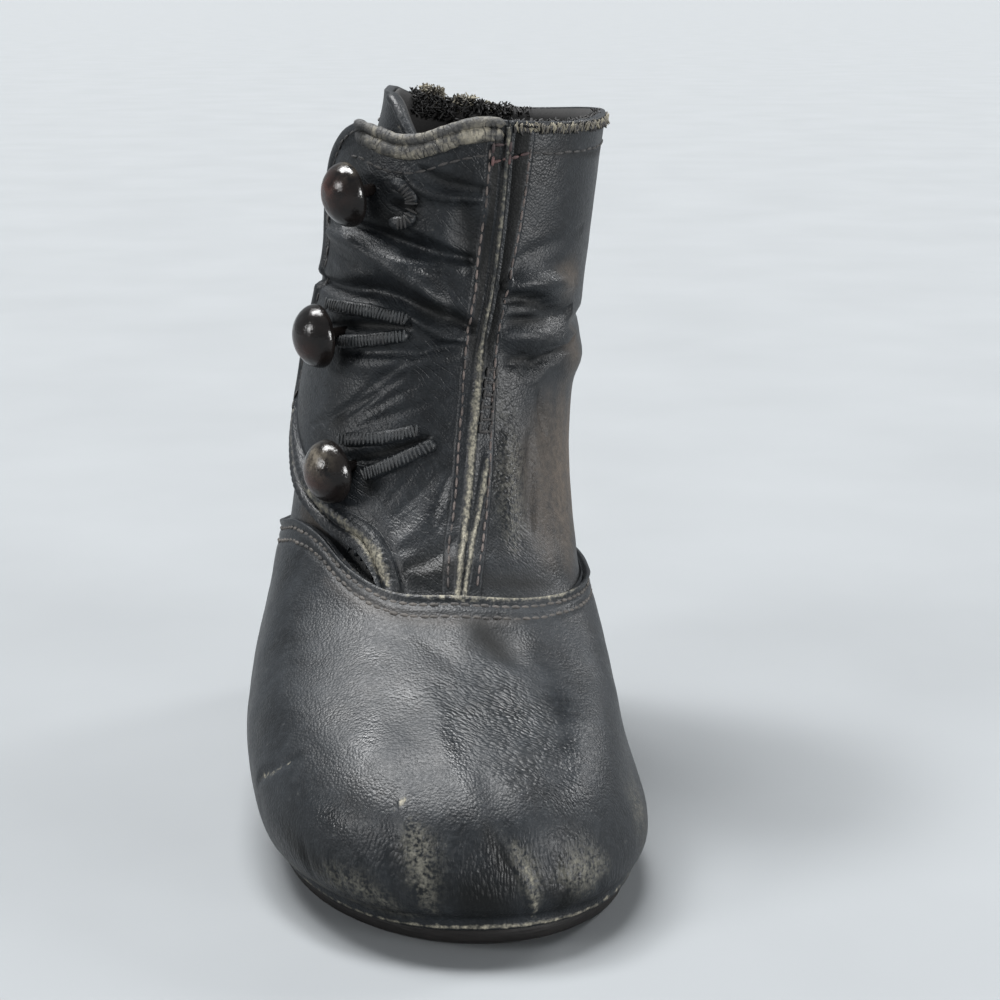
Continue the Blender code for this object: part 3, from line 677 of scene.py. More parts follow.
# %% Folds of the shaft, shared by flap, quarters and seam
SHAFT_FOLDS = (
    # Flap, from the top button down
    Fold(((-63, 83.6), (-45, 82.7), (-30, 81.1), (-18.5, 78.8), (-10, 76.1), (-3, 73.8)), 2.2, 2.0),
    Fold(((-51, 85.6), (-36, 84.6), (-22, 83.4), (-10, 82.4), (3, 81.2)), 1.3, -1.8),
    Fold(((-25, 81.5), (-17, 80.6), (-6, 79.8)), 0.8, 0.5),
    Fold(((-14.5, 78.2), (-8.5, 76.9)), 0.7, 0.3),
    Fold(((-1, 89.0), (1, 85.0), (3, 80.0)), 2.4, -1.1),
    Fold(((-23, 93.4), (-18, 91.4), (-9, 90.2), (4, 89.7)), 0.9, 0.7),
    Fold(((-17, 94.0), (-7.5, 92.2), (5, 91.1)), 1.0, -0.7),
    Fold(((-25, 86.0), (-12.5, 84.0), (-3.5, 82.6)), 0.6, -0.4),
    Fold(((-56, 79.5), (-38, 78.4), (-24, 76.6)), 1.6, 0.6),
    Fold(((-74, 76.4), (-50, 76.0), (-30, 76.4), (-15, 75.0), (-4, 73.6), (6, 71.4)), 1.5, -2.0),
    Fold(((-17, 73.6), (-9, 71.8), (-2, 70.2), (4, 69.8)), 0.8, 0.9),
    Fold(((-42, 67.0), (-21, 67.8), (-9.5, 68.0), (1, 69.2)), 0.9, -0.6),
    Fold(((-44, 65.0), (-13, 66.2), (4, 67.4)), 1.6, 0.6),
    Fold(((-58, 55.3), (-37, 58.8), (-25, 61.6)), 0.9, -0.4),
    Fold(((-50, 55.8), (-34, 60.4), (-19, 65.2), (-8, 68.0)), 0.7, -0.3),
    Fold(((-44, 55.6), (-28, 60.7), (-13, 65.0)), 0.6, -0.25),
    Fold(((-41, 55.3), (-24, 59.8), (-9, 63.4)), 0.6, -0.22),
    Fold(((-36, 55.6), (-17.5, 58.8), (-1, 61.2)), 0.7, -0.28),
    Fold(((-16.5, 46.1), (-8, 50.4), (-3.5, 53.2)), 0.6, -0.12),
    Fold(((-14.5, 44.1), (-4, 48.3), (1, 51.8)), 0.6, -0.15),
    Fold(((-12, 41.0), (-4, 43.4), (0, 46.2), (4, 50.0)), 2.0, 0.55),
    Fold(((1, 43.0), (4, 46.9), (5.5, 50.0)), 0.9, -0.25),
    Fold(((-7.5, 38.6), (0, 39.6), (6.5, 41.6)), 1.6, -0.6),
    # Inner quarter, from the top down
    Fold(((18, 80.0), (26.5, 82.2), (55, 84.6)), 1.0, -0.4),
    Fold(((16, 77.4), (31, 77.6), (53, 76.4)), 1.4, 1.4),
    Fold(((17, 75.4), (27.5, 75.1), (41, 73.2), (55, 72.6)), 1.0, -1.8),
    Fold(((18, 74.0), (28, 73.6), (39, 72.8)), 0.6, 0.6),
    Fold(((18, 72.6), (26.5, 72.2), (40, 72.0), (56, 71.4)), 0.8, -1.5),
    Fold(((18, 70.0), (30, 69.8), (47, 68.4), (62, 69.0)), 1.5, 1.3),
    Fold(((18, 67.3), (27.5, 66.6), (36.5, 65.8), (49, 67.0), (60, 68.0)), 0.8, -1.7),
    Fold(((19, 66.3), (31, 64.8), (40, 65.0)), 0.6, -0.9),
    Fold(((50, 65.6), (66, 64.8), (85, 64.6), (105, 65.4)), 3.0, 1.0),
    Fold(((54, 70.4), (75, 70.2), (100, 70.8)), 1.2, -0.7),
    Fold(((38.8, 60.9), (43, 57.0), (47, 53.9)), 0.7, -0.8),
    Fold(((25, 56.0), (27, 50.0), (28, 42.0)), 1.7, 0.6),
    Fold(((36, 55.0), (38, 48.0), (38, 42.0)), 1.3, -0.6),
    # Back and outer side
    Fold(((-178, 66.0), (-140, 64.0), (-110, 63.0)), 1.6, -0.9),
    Fold(((-175, 62.5), (-140, 60.8), (-112, 60.0)), 1.4, 0.6),
    Fold(((175, 62.0), (140, 64.0), (108, 63.0)), 1.6, -0.9),
    Fold(((-170, 59.0), (-135, 57.5), (-110, 58.0)), 1.4, -0.6),
    Fold(((165, 56.0), (125, 58.0)), 1.4, -0.5),
)
VAMP_FOLDS = (
    Fold(((-3, 27.0), (-2, 22.5), (1, 19.0), (4, 16.0)), 2.6, 0.3),
    Fold(((6, 21.0), (8, 16.6), (11, 12.0)), 2.4, -0.25),
    Fold(((7, 15.6), (11, 11.5), (14, 6.5)), 0.7, 0.4),
    Fold(((-13, 19.4), (-12, 14.9), (-13, 8.5)), 1.0, 0.4),
    Fold(((-17, 14.0), (-18, 8.0)), 0.8, -0.4),
    Fold(((-68, 14.3), (-62, 16.8), (-46, 20.7)), 0.7, -0.45),
    Fold(((16, 32.0), (20, 30.4), (23, 28.9)), 3.2, -0.7),
    Fold(((-8, 32.0), (2, 29.4), (12, 27.0), (22, 23.0)), 1.6, -0.12),
    Fold(((20, 14.0), (22, 8.0)), 0.8, -0.35),
    Fold(((32, 13.0), (36, 7.0)), 0.8, -0.3),
    Fold(((-25, 13.0), (-24, 7.5)), 0.7, -0.3),
    Fold(((-34, 12.5), (-32, 6.5)), 0.7, -0.3),
    Fold(((-44, 13.0), (-43, 7.0)), 0.7, -0.3),
    Fold(((-95, 33.0), (-100, 24.0), (-112, 16.0)), 1.8, -0.5),
    Fold(((95, 29.0), (100, 22.0), (112, 15.0)), 1.8, -0.5),
)
print("folds laid by hand:", len(SHAFT_FOLDS) + len(VAMP_FOLDS))

# %% [markdown]
# ## The vamp
# One piece of leather is lasted round the whole foot and turned under the sole. Its top edge is
# folded over and laps the quarters and the flap; the fold has rubbed to cream at the throat. Two
# rows of brown lockstitch hold it. The sheet's grid is finest at the toe, where it shows most.

# %% Edges and marks of the vamp
FLAP_TOP = 1.35             # outer face of the flap above the last
VAMP_STEP = 1.0
VAMP_THROAT_STEP = 1.3      # the vamp stands higher where it covers the flap
VAMP_THROAT_REACH = 55.0
VAMP_THROAT_DEPTH = 8.0
VAMP_LEATHER = 1.3
VAMP_CRACKS = 0.3           # share of the glaze that has cracked where the vamp is wrinkled
VAMP_WAVES = (Wave(0.35, 16.0), Wave(0.1, 5.0))
TOE_CROWDING = 1.25         # columns of the grid stand closer at the toe
# The cut edge, the roll of the folded lip and two sunk stitch rows, then the turned-under edge and
# its crease above the sole
LIP_ROLLS = (Roll(0.0, 0.2, -0.5), Roll(0.45, 0.45, 0.3), Roll(1.6, 0.6, -0.3), Roll(3.9, 0.6, -0.25))
FOOT_ROLLS = (Roll(0.3, 0.6, 0.45), Roll(1.7, 0.7, -0.25))

VAMP_MARKS = {
    "wear": (
        Mark(((-19, 35.6), (-5, 35.0), (12, 34.7), (30, 34.2), (50, 33.8), (66, 34.0)), 0.65, 0.68),
        Mark(((-50, 40.6), (-35, 38.0), (-20, 35.8)), 0.4, 0.3),
        Mark(((10.5, 14.0), (12.5, 11.5), (14, 8.0), (15, 5.6)), 0.45, 0.5),
        Mark(((-70, 13.4), (-66, 15.6), (-60, 17.0), (-48, 20.2)), 0.3, 0.7),
        Mark(((-12.5, 19.4), (-12.5, 18.6)), 0.5, 0.8),
        # A rubbed light line along the bead above the sole, painted partly as the bead's highlight
        Mark(((-78, 3.5), (-45, 4.2), (-20, 5.0), (0, 5.4), (20, 5.1), (45, 4.4), (70, 4.0)), 0.32, 0.75),
    ),
    "scuff_and_sheen": (
        Mark(((-10.8, 17.4), (-9.5, 13.8), (-9.5, 8.0)), 1.9, 0.75),
        Mark(((20.8, 10.6), (28, 10.9), (36.5, 10.3)), 2.6, 0.85),
        Mark(((-42, 9.6), (-28.5, 9.4), (-18.5, 7.6)), 1.7, 0.65),
        Mark(((9.5, 15.3), (12.2, 12.2), (14, 8.0)), 1.3, 0.8),
        Mark(((-60, 7.4), (-40, 6.4), (-15, 6.2)), 1.0, 0.5),
        Mark(((60, 15.0), (70, 10.0)), 4.0, 0.4),
    ),
    # Painted shade: near black in the throat's hollow, in creases and along the lip beside the flap's
    # edge; the glossy toe patches are black glaze, darkened further as a painted dark reflection
    "dark": (
        Mark(((-3.5, 10.0), (1, 9.6), (7, 8.0)), 3.2, 1.0),
        Mark(((3.8, 17.4), (6.2, 13.5), (8, 9.0)), 1.5, 0.9),
        Mark(((18, 10.0), (23.2, 7.8), (28, 7.2)), 1.5, 0.85),
        Mark(((9, 32.4), (15.5, 31.0), (21, 29.0)), 3.0, 1.0),
        Mark(((-51, 12.6), (-46, 10.8), (-38, 9.8)), 1.9, 0.95),
        Mark(((-60, 40.4), (-35, 37.0), (-19, 34.4)), 0.7, 0.5),
    ),
    "polish": (
        Mark(((-3.5, 10.8), (1, 9.6), (7, 8.6)), 3.4, 1.6),
        Mark(((3.8, 17.4), (6.2, 13.5), (8, 9.0)), 1.5, 1.5),
        Mark(((-51, 12.6), (-46, 10.8), (-38, 9.8)), 2.0, 1.6),
        Mark(((18, 10.0), (23.2, 7.8), (28, 7.2)), 1.5, 1.5),
        Mark(((-21.0, 25.3), (-22.2, 23.4), (-23.8, 21.4)), 1.9, 1.0),
        Mark(((0.0, 25.6), (-0.5, 24.5), (0.2, 23.2), (0.8, 21.4), (0.8, 19.6)), 1.5, 1.0),
        Mark(((34.2, 28.1), (36.5, 26.3), (36.8, 24.1), (33.8, 21.2), (31.0, 18.0)), 2.0, 1.0),
        Mark(((-46.2, 16.6), (-36.0, 16.7), (-27.8, 15.7)), 1.4, 0.8),
        Mark(((-23.8, 30.4), (-19.0, 28.7)), 1.3, 0.6),
        Mark(((-16.5, 27.1), (-6.2, 26.4)), 2.2, 0.5),
        Mark(((16.8, 26.2), (26.2, 22.8)), 2.4, 0.5),
    ),
    # Where fine wrinkles stand upright round the toe
    "upright": (
        Mark(((-58, 9.0), (-30, 11.0), (0, 12.0), (30, 11.0), (45, 9.0)), 6.0, 0.6),
    ),
    # Where they slant down to the inner side
    "slant": (
        Mark(((-3.5, 27.2), (6, 26.4), (16.8, 24.8), (23, 21.8), (26.2, 18.4)), 6.0, 1.0),
        Mark(((11.8, 30.2), (14.5, 19.8)), 5.0, 1.0),
    ),
    "dust": (
        Mark(((-40, 36.0), (-10, 33.0), (30, 32.2)), 1.4, 0.2),
        Mark(((-90, 8.0), (-70, 7.0)), 3.0, 0.4),
    ),
}
print("marks on the vamp:", sum(map(len, VAMP_MARKS.values())))

# %% The vamp
def vamp_lift(angle, below_line):
    """The vamp's outer surface above the last, at a depth below the vamp line."""
    throat = np.exp(-(wrapped(angle) / VAMP_THROAT_REACH) ** 2)
    return VAMP_STEP + VAMP_THROAT_STEP * throat * np.exp(-below_line / VAMP_THROAT_DEPTH)


def vamp_skin(angle, ring):
    """The vamp's outer face with its folded lip and creases, and the bare last under it."""
    bare = last_point(angle, ring)
    line = vamp_height(angle)
    lip = last_point(angle, ring_at(angle, line))
    inset = np.linalg.norm(bare - lip, axis=1)
    above_sole = bare[:, 2] - last_point(angle, np.zeros_like(angle))[:, 2]
    lift = vamp_lift(angle, line - bare[:, 2]) + rolled(inset, LIP_ROLLS) + rolled(above_sole, FOOT_ROLLS)
    lift += relief(bare, VAMP_FOLDS) + rumple(bare, VAMP_WAVES)
    return bare + outward(angle, ring) * lift[:, None], bare


def vamp_place(u, w):
    side = 2 * u - 1
    angle = 180.0 * np.sign(side) * np.abs(side) ** TOE_CROWDING
    ring = ring_at(angle, vamp_height(angle)) * crowded(w, 0.35)
    points, bare = vamp_skin(angle, ring)
    marks = marks_on(bare, VAMP_MARKS)
    marks["cracked"] = VAMP_CRACKS * marks["slant"]
    return points, marks


vamp = bent_sheet("vamp", 330, 104, vamp_place, VAMP_KID, closed=True)
thicken(vamp, VAMP_LEATHER)
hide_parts("upper")

# %% [markdown]
# ## The quarters
# Two panels wrap the ankle and meet in a seam down the heel. The inner quarter runs from the front
# seam to the heel. The outer one carries the buttons, goes on under the flap, and its slack collar
# leans in. Both are bent from the same last and take the shaft's folds.

# %% Slack, sunk and marked places of the quarters
QUARTER_LEATHER = 1.2
SHAFT_CRACKS = 0.22         # how strongly the cracks of the glaze show on the shaft
TUCK = 2.0                  # how far a quarter runs down behind the vamp
SEAM_ANGLE = 10.6
RISE_FULL = 25.0            # the inner quarter is level with the flap as far as this
RISE_END = 95.0
COLLAR_LEAN = 6.9           # how far the slack collar leans, between two heights and round an angle
LEAN_FROM = 80.0
LEAN_TO = 104.0
LEAN_MIDDLE = -95.0
LEAN_REACH = 85.0
THROAT_SINK = 1.7           # how deep the shaft lies behind the vamp's lip
THROAT_REACH = 4.5
THROAT_TURN = 60.0
SHAFT_WAVES = (Wave(0.4, 18.0), Wave(0.1, 6.0))
HEEL_GROOVE = Roll(180.0, 1.2, -0.5)    # the sunk back seam, in degrees round the boot

QUARTER_MARKS = {
    "wear": (
        Mark(((-25, 96.8), (-32, 99.4), (-40, 102.4), (-46, 103.8)), 0.7, 0.35),
    ),
    "dust": (
        Mark(((46, 60.0), (46, 50.0), (47, 38.0)), 4.5, 0.55),
        Mark(((58, 60.0), (60, 48.0), (62, 37.0)), 5.0, 0.75),
        Mark(((75, 58.0), (80, 40.0)), 7.0, 0.9),
        Mark(((41, 79.0), (61, 76.5)), 2.4, 0.6),
        Mark(((60, 70.0), (64, 62.0)), 3.0, 0.5),
        Mark(((-70, 43.0), (-40, 42.0)), 1.6, 0.4),
        Mark(((-140, 40.0), (-100, 42.0)), 4.0, 0.35),
        Mark(((140, 38.0), (100, 39.0)), 4.0, 0.35),
    ),
    # Painted shade: near black in the inner quarter's fold troughs, under the collar's overcast edge,
    # just above the vamp's lip and under the flap's edge
    "dark": (
        Mark(((17, 75.4), (27.5, 75.0), (41, 73.2)), 1.0, 0.95),
        Mark(((18, 72.6), (26.5, 72.2), (40, 72.0)), 0.8, 0.95),
        Mark(((18, 67.3), (27.5, 66.6), (36.5, 65.8), (49, 67.0)), 0.7, 0.9),
        Mark(((12, 97.0), (60, 95.4), (90, 96.4)), 0.6, 0.7),
        Mark(((11, 37.4), (30, 36.4), (50, 35.4)), 1.3, 0.8),
        Mark(((-50, 43.6), (-36, 41.6), (-22, 38.0)), 0.9, 0.7),
    ),
    # A painted sheen: the lighter scuff colour down the bulge behind the seam stands in for its highlight
    "scuff_and_sheen": (
        Mark(((25.8, 56.0), (28.2, 49.2), (29.8, 39.8)), 2.2, 0.5),
        Mark(((20.0, 62.0), (24.0, 56.0)), 2.4, 0.2),
    ),
    # Where the grain stands out along the bulge behind the seam
    "slant": (
        Mark(((24.0, 60.0), (28.2, 49.2), (29.8, 39.0)), 3.0, 0.8),
    ),
    "polish": (
        Mark(((25.0, 56.4), (28.2, 47.7), (30.0, 38.7)), 2.4, 0.6),
        Mark(((16, 77.0), (30, 76.2), (54, 76.4)), 1.6, 0.7),
    ),
}
print("marks on the quarters:", sum(map(len, QUARTER_MARKS.values())))

# %% Inner and outer quarter
def collar_lean(angle, height):
    """How far the slack outer quarter leans in, towards the inner side."""
    share = np.clip(1 - np.abs(wrapped(angle) - LEAN_MIDDLE) / LEAN_REACH, 0.0, 1.0)
    return COLLAR_LEAN * smooth_step(0.0, 1.0, share) * smooth_step(LEAN_FROM, LEAN_TO, height)


def quarter_lift(angle):
    """The inner quarter's rise to the flap's level beside the front seam."""
    turn = wrapped(angle)
    return np.where(turn > SEAM_ANGLE, FLAP_TOP * (1 - smooth_step(RISE_FULL, RISE_END, turn)), 0.0)


def shaft_unevenness(angle, bare):
    """Folds and slow waves of the shaft, and its foot sunk away behind the vamp's lip."""
    front = np.exp(-(wrapped(angle) / THROAT_TURN) ** 2)
    behind_lip = 1 - smooth_step(0.3, THROAT_REACH, bare[:, 2] - vamp_height(angle))
    return relief(bare, SHAFT_FOLDS) + rumple(bare, SHAFT_WAVES) - THROAT_SINK * front * behind_lip


def quarter_skin(angle, height, sink=0.0):
    """The quarters' outer face, or a layer sunk below it, and the bare last under it."""
    ring = ring_at(angle, height)
    bare = last_point(angle, ring)
    lift = quarter_lift(angle) + shaft_unevenness(angle, bare) - sink
    lift += rolled(np.abs(wrapped(angle)), (HEEL_GROOVE,))
    points = bare + outward(angle, ring) * lift[:, None]
    points[:, 0] += collar_lean(angle, points[:, 2])
    return points, bare


def quarter_panel(name, start, end, columns, rows):
    """A quarter from one angle to another, from behind the vamp to the collar."""
    def place(u, w):
        angle = start + (end - start) * u
        foot = vamp_height(angle) - TUCK
        height = foot + (collar_height(angle) - foot) * crowded(w, 0.5)
        points, bare = quarter_skin(angle, height)
        return points, {**marks_on(bare, QUARTER_MARKS), "cracked": np.full(len(bare), SHAFT_CRACKS)}

    panel = bent_sheet(name, columns, rows, place, KID)
    thicken(panel, QUARTER_LEATHER)
    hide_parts("upper")


quarter_panel("inner_quarter", 11.0, 180.0, 150, 96)
quarter_panel("outer_quarter", -180.0, 10.2, 150, 96)

# %% [markdown]
# ## The lining
# Inside is a cotton lining, black and frayed at the collar, with cream patches where it is bare. It
# is one closed sheet just inside the quarters.

# %% Cotton lining
LINING_SINK = 1.5
LINING_FOOT = 6.0
LINING_DROP = 0.3           # how far its top stays below the collar
LINING_CLOTH = 0.4
LINING_SIZE = (140.0, 100.0)    # of the cloth laid flat, for its weave
LINING_BARE = (
    Mark(((-178, 101.0), (-168, 100.4)), 1.5, 0.9),
    Mark(((170, 101.0), (160, 100.0)), 1.3, 0.8),
)


def lining_place(u, w):
    angle = -180.0 + 360.0 * u
    height = LINING_FOOT + (collar_height(angle) - LINING_DROP - LINING_FOOT) * w
    points, bare = quarter_skin(angle, height, LINING_SINK)
    return points, {"wear": painted(bare, LINING_BARE)}


lining = bent_sheet("lining", 150, 60, lining_place, LINING, closed=True, uv_size=LINING_SIZE)
thicken(lining, LINING_CLOTH)

# %% [markdown]
# ## The button flap
# The flap is the front panel that buttons over to the outer side. Its outline is blended from four
# edges: the scalloped free edge, the top, the front seam, and the foot that tucks under the vamp.
# Edges are turned over and stitched, so each is a soft roll; the lower sweep has worn to grey.

# %% Edges of the flap
FLAP_LEATHER = 1.0
FLAP_TUCK = 1.8
FLAP_SEAM_ANGLE = 10.2
FLAP_CRACKS = 0.45          # share of the glaze that has cracked on the flap
EDGE_ROLL = 0.4             # height of the rolled edge, and half its width
EDGE_HALF = 0.9
SWEEP_ROLL = 0.7            # how much thicker the roll is along the lower sweep
SWEEP_HALF = 0.4
SWEEP_END = (0.22, 0.42)    # shares of the free edge over which the lower sweep runs out
FLAP_EDGE_RIPPLES = 90      # small wrinkles across the rolled edge, over its whole length
RIPPLE = 0.1
ROLL_GROOVE = 0.15          # the leather sinks inside the roll
STITCH_GROOVE = Roll(2.3, 0.6, -0.15)
TOP_EDGE = Roll(0.0, 0.4, -0.3)
SLIT_DEPTH = 1.0
SLIT_WIDTH = 0.8
SLIT_SHADOW = 0.7
print("ripples on the flap's edge:", FLAP_EDGE_RIPPLES)

# %% Buttons, buttonholes and marks of the flap
# Where a shank stands, and the direction that the head faces and how far it droops, in degrees
Button = namedtuple("Button", "name angle height face droop")
BUTTONS = (
    Button("button_top", -36.7, 91.0, -62.0, 8.0),
    Button("button_middle", -44.5, 70.0, -64.0, 3.0),
    Button("button_bottom", -29.9, 51.5, -54.0, 3.0),
)
# Each worked hole as two edges, from the button to the hole's inner end, and the share of its
# length from which the twist still shows
Buttonhole = namedtuple("Buttonhole", "upper lower worn_to")
BUTTONHOLES = (
    Buttonhole(((-29, 92.0), (-24, 91.6), (-20, 90.2), (-18.5, 88.8)),
               ((-28, 86.6), (-24, 86.2), (-20, 86.6), (-18.5, 88.4)), 0.35),
    Buttonhole(((-56, 73.3), (-34, 73.4), (-15, 72.6)), ((-47, 68.2), (-30, 69.2), (-14, 70.4)), 0.0),
    Buttonhole(((-38, 54.4), (-20, 55.4), (-6, 56.8)), ((-26, 49.8), (-14, 52.0), (0, 55.0)), 0.0),
)
FLAP_MARKS = {
    "wear": (
        Mark(((-15.5, 36.6), (-18.5, 38.6), (-22.5, 40.5), (-31, 42.6)), 1.15, 0.9),
        Mark(((-27, 42.0), (-38.5, 43.8)), 0.9, 0.6),
        Mark(((-36, 43.4), (-46, 44.9), (-60, 47.6)), 1.0, 0.55),
        Mark(((-60, 47.4), (-70, 49.9), (-81, 53.8), (-87, 58.0), (-86, 63.0)), 0.9, 0.6),
        Mark(((-86, 63.0), (-79, 69.5)), 0.6, 0.4),
    ),
    # Painted shade: near black where the flap dives behind the vamp's lip, in its fold troughs and beside
    # the buttons; the top hole's inner end is darkened too
    "dark": (
        Mark(((-12.5, 38.0), (-5.0, 38.4), (2, 38.6), (8, 38.2)), 3.0, 1.0),
        Mark(((-16, 75.2), (-6, 73.8), (7, 71.6)), 1.5, 0.9),
        Mark(((-1, 89.0), (1, 85.0), (3, 80.0)), 2.0, 0.7),
        Mark(((-36, 88.6), (-28, 86.4), (-22, 84.6)), 2.4, 0.8),
        Mark(((-22, 91.6), (-18.5, 88.6), (-21, 86.0)), 1.8, 0.8),
        Mark(((-17, 94.2), (-7.5, 92.6), (5, 91.4)), 1.2, 0.6),
        Mark(((-46, 67.0), (-38, 66.0)), 2.0, 0.7),
        Mark(((-44, 56.4), (-36, 57.6)), 1.4, 0.7),
        Mark(((-26, 48.4), (-21, 48.6)), 1.8, 0.8),
    ),
    "polish": (
        Mark(((-12.5, 38.0), (-5.0, 38.4), (2, 38.6), (8, 38.2)), 3.0, 2.0),
        Mark(((-3.0, 41.1), (0.2, 45.3), (4.0, 49.8)), 2.2, 0.5),
        Mark(((-12, 43.0), (-6, 47.0)), 1.6, 0.4),
        Mark(((-20, 80.9), (-5, 79.6)), 1.4, 0.8),
    ),
}
print("marks on the flap:", sum(map(len, FLAP_MARKS.values())))

# %% The flap
def distances(line):
    """How far along a line of points each point lies, from 0."""
    steps = np.linalg.norm(np.diff(line, axis=0), axis=1)
    return np.concatenate([[0.0], np.cumsum(steps)])


def flap_grid(u, w):
    """Angle and height of a place on the flap: u from the free edge to the seam, w from foot to top."""
    angles, heights = edge_columns(FLAP_EDGE)
    along_edge = distances(last_point(angles, ring_at(angles, heights)))
    along_edge /= along_edge[-1]
    edge_angle = smooth_curve(along_edge, angles, w)
    edge_up = smooth_curve(along_edge, heights, w)
    foot_angle = angles[0] + (FLAP_SEAM_ANGLE - angles[0]) * u
    top_angle = angles[-1] + (FLAP_SEAM_ANGLE - angles[-1]) * u
    foot = vamp_height(foot_angle) - FLAP_TUCK
    top = edge_height(FLAP_TOP_LINE, top_angle)
    seam_foot = vamp_height(FLAP_SEAM_ANGLE) - FLAP_TUCK
    seam_top = edge_height(FLAP_TOP_LINE, FLAP_SEAM_ANGLE)
    angle = edge_angle + (FLAP_SEAM_ANGLE - edge_angle) * u
    across = edge_up + (seam_foot + (seam_top - seam_foot) * w - edge_up) * u
    foot_bow = foot - (heights[0] + (seam_foot - heights[0]) * u)
    top_bow = top - (heights[-1] + (seam_top - heights[-1]) * u)
    return angle, across + foot_bow * (1 - w) + top_bow * w


def slit_path(hole):
    """The middle line between a hole's two edges."""
    return tuple(((a[0] + b[0]) / 2, (a[1] + b[1]) / 2) for a, b in zip(hole.upper, hole.lower))


def flap_skin(angle, height):
    """The flap's outer face with rolled edges, folds and the sunk slits of its buttonholes."""
    ring = ring_at(angle, height)
    bare = last_point(angle, ring)
    inset, along = path_distance(bare, boot_path(FLAP_EDGE, 80))
    from_top, _ = path_distance(bare, boot_path(FLAP_TOP_LINE, 30))
    sweep = 1 - smooth_step(*SWEEP_END, along)
    half = EDGE_HALF + SWEEP_HALF * sweep
    roll = np.sqrt(np.clip(1 - ((inset - half) / half) ** 2, 0.0, 1.0))
    ripple = smooth_step(0.3, 0.9, inset) * np.exp(-((inset - half) / half) ** 2)
    lift = FLAP_TOP + shaft_unevenness(angle, bare) + (EDGE_ROLL + SWEEP_ROLL * sweep) * roll
    lift += RIPPLE * sweep * ripple * np.sin(2 * np.pi * along * FLAP_EDGE_RIPPLES)
    lift -= ROLL_GROOVE * sweep * np.exp(-((inset - 2 * half - 0.3) / 0.6) ** 2)
    lift += rolled(inset, (STITCH_GROOVE,)) + rolled(from_top, (TOP_EDGE,))
    for hole in BUTTONHOLES:
        lift -= SLIT_DEPTH * near_path(bare, slit_path(hole), SLIT_WIDTH)
    return bare + outward(angle, ring) * lift[:, None], bare


def flap_place(u, w):
    angle, height = flap_grid(crowded(u, 0.45), crowded(w, 0.35))
    points, bare = flap_skin(angle, height)
    marks = marks_on(bare, FLAP_MARKS)
    # Painted shade down the slit of each buttonhole
    for hole in BUTTONHOLES:
        marks["dark"] = np.maximum(marks["dark"], near_path(bare, slit_path(hole), SLIT_SHADOW))
    marks["cracked"] = np.full(len(bare), FLAP_CRACKS)
    return points, marks


button_flap = bent_sheet("button_flap_leather", 170, 220, flap_place, KID)
thicken(button_flap, FLAP_LEATHER)
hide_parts("button_flap")

# %% [markdown]
# ## The front seam
# Flap and inner quarter meet in a seam that is pressed open and covered by a narrow strip, with a
# corded rib along its middle and a row of faded stitches on either side. The rib has rubbed to grey.

# %% Lines of the front seam
# Angles of the left stitch row, the rib, the second rib and the right row, at heights in millimetres
SeamPlace = namedtuple("SeamPlace", "height left rib second right")
SEAM = (
    SeamPlace(33.0, 3.0, 5.6, 7.6, 13.0), SeamPlace(36.4, 3.6, 7.0, 9.6, 13.8),
    SeamPlace(40.3, 4.4, 8.8, 12.0, 16.0), SeamPlace(46.8, 6.4, 10.8, 15.6, 18.2),
    SeamPlace(54.0, 6.6, 11.2, 17.4, 18.4), SeamPlace(61.0, 6.2, 11.0, 17.0, 17.2),
    SeamPlace(69.5, 5.0, 10.2, 16.0, 16.0), SeamPlace(75.5, 5.4, 11.0, 16.8, 16.8),
    SeamPlace(82.6, 5.2, 11.2, 18.0, 18.0), SeamPlace(90.0, 5.6, 11.2, 19.2, 19.2),
    SeamPlace(96.0, 5.0, 10.8, 19.5, 19.5), SeamPlace(102.0, 5.0, 10.8, 19.5, 19.5),
)
SHAFT_AXIS = (0.0, 27.0)    # the shaft's middle, which turns degrees into millimetres
STRIP_MARGIN = 2.6          # degrees from a stitch row to the strip's edge
STRIP_LIFT = 0.3            # the strip above the leather beside it, its edges sunk below
STRIP_EDGE = -0.35
STRIP_LEATHER = 0.5
STRIP_FOOT = 33.8
STRIP_TOP = 100.4
RIB_HEIGHT = 0.65
RIB_WIDTH = 0.55
SECOND_RIB_WIDTH = 0.66
SECOND_RIB_TOP = 55.0
CHANNEL_DEPTH = 0.6         # higher up the rib lies in a channel
CHANNEL_WIDTH = 1.5
print("places along the seam:", len(SEAM))

# %% Front seam strip
def seam_angle(column, height):
    """The angle of one of the seam's lines at each height."""
    return smooth_curve(np.array([row.height for row in SEAM]),
                        np.array([getattr(row, column) for row in SEAM]), height)


def strip_skin(angle, height):
    """The strip's surface, the bare last, and how much each point belongs to a rib."""
    ring = ring_at(angle, height)
    bare = last_point(angle, ring)
    per_degree = np.pi / 180 * np.linalg.norm(bare[:, :2] - SHAFT_AXIS, axis=1)
    from_rib = (angle - seam_angle("rib", height)) * per_degree
    from_second = (angle - seam_angle("second", height)) * per_degree
    low = 1 - smooth_step(64.0, 72.0, height)
    first = np.exp(-(from_rib / (RIB_WIDTH * (0.95 + 0.5 * low))) ** 2)
    second = np.exp(-(from_second / SECOND_RIB_WIDTH) ** 2)
    second *= 1 - smooth_step(SECOND_RIB_TOP - 6.0, SECOND_RIB_TOP, height)
    rib = np.maximum(first, second)
    left = seam_angle("left", height) - STRIP_MARGIN
    right = seam_angle("right", height) + STRIP_MARGIN
    edge = np.minimum(angle - left, right - angle) * per_degree
    channel = CHANNEL_DEPTH * np.exp(-(from_rib / CHANNEL_WIDTH) ** 2) * smooth_step(62.0, 72.0, height)
    above_lip = smooth_step(0.0, 2.0, height - vamp_height(angle))
    lift = FLAP_TOP + shaft_unevenness(angle, bare)
    lift += STRIP_EDGE + (STRIP_LIFT - STRIP_EDGE) * smooth_step(0.0, 1.0, edge)
    lift += (RIB_HEIGHT + channel) * rib * above_lip - channel
    return bare + outward(angle, ring) * lift[:, None], bare, rib


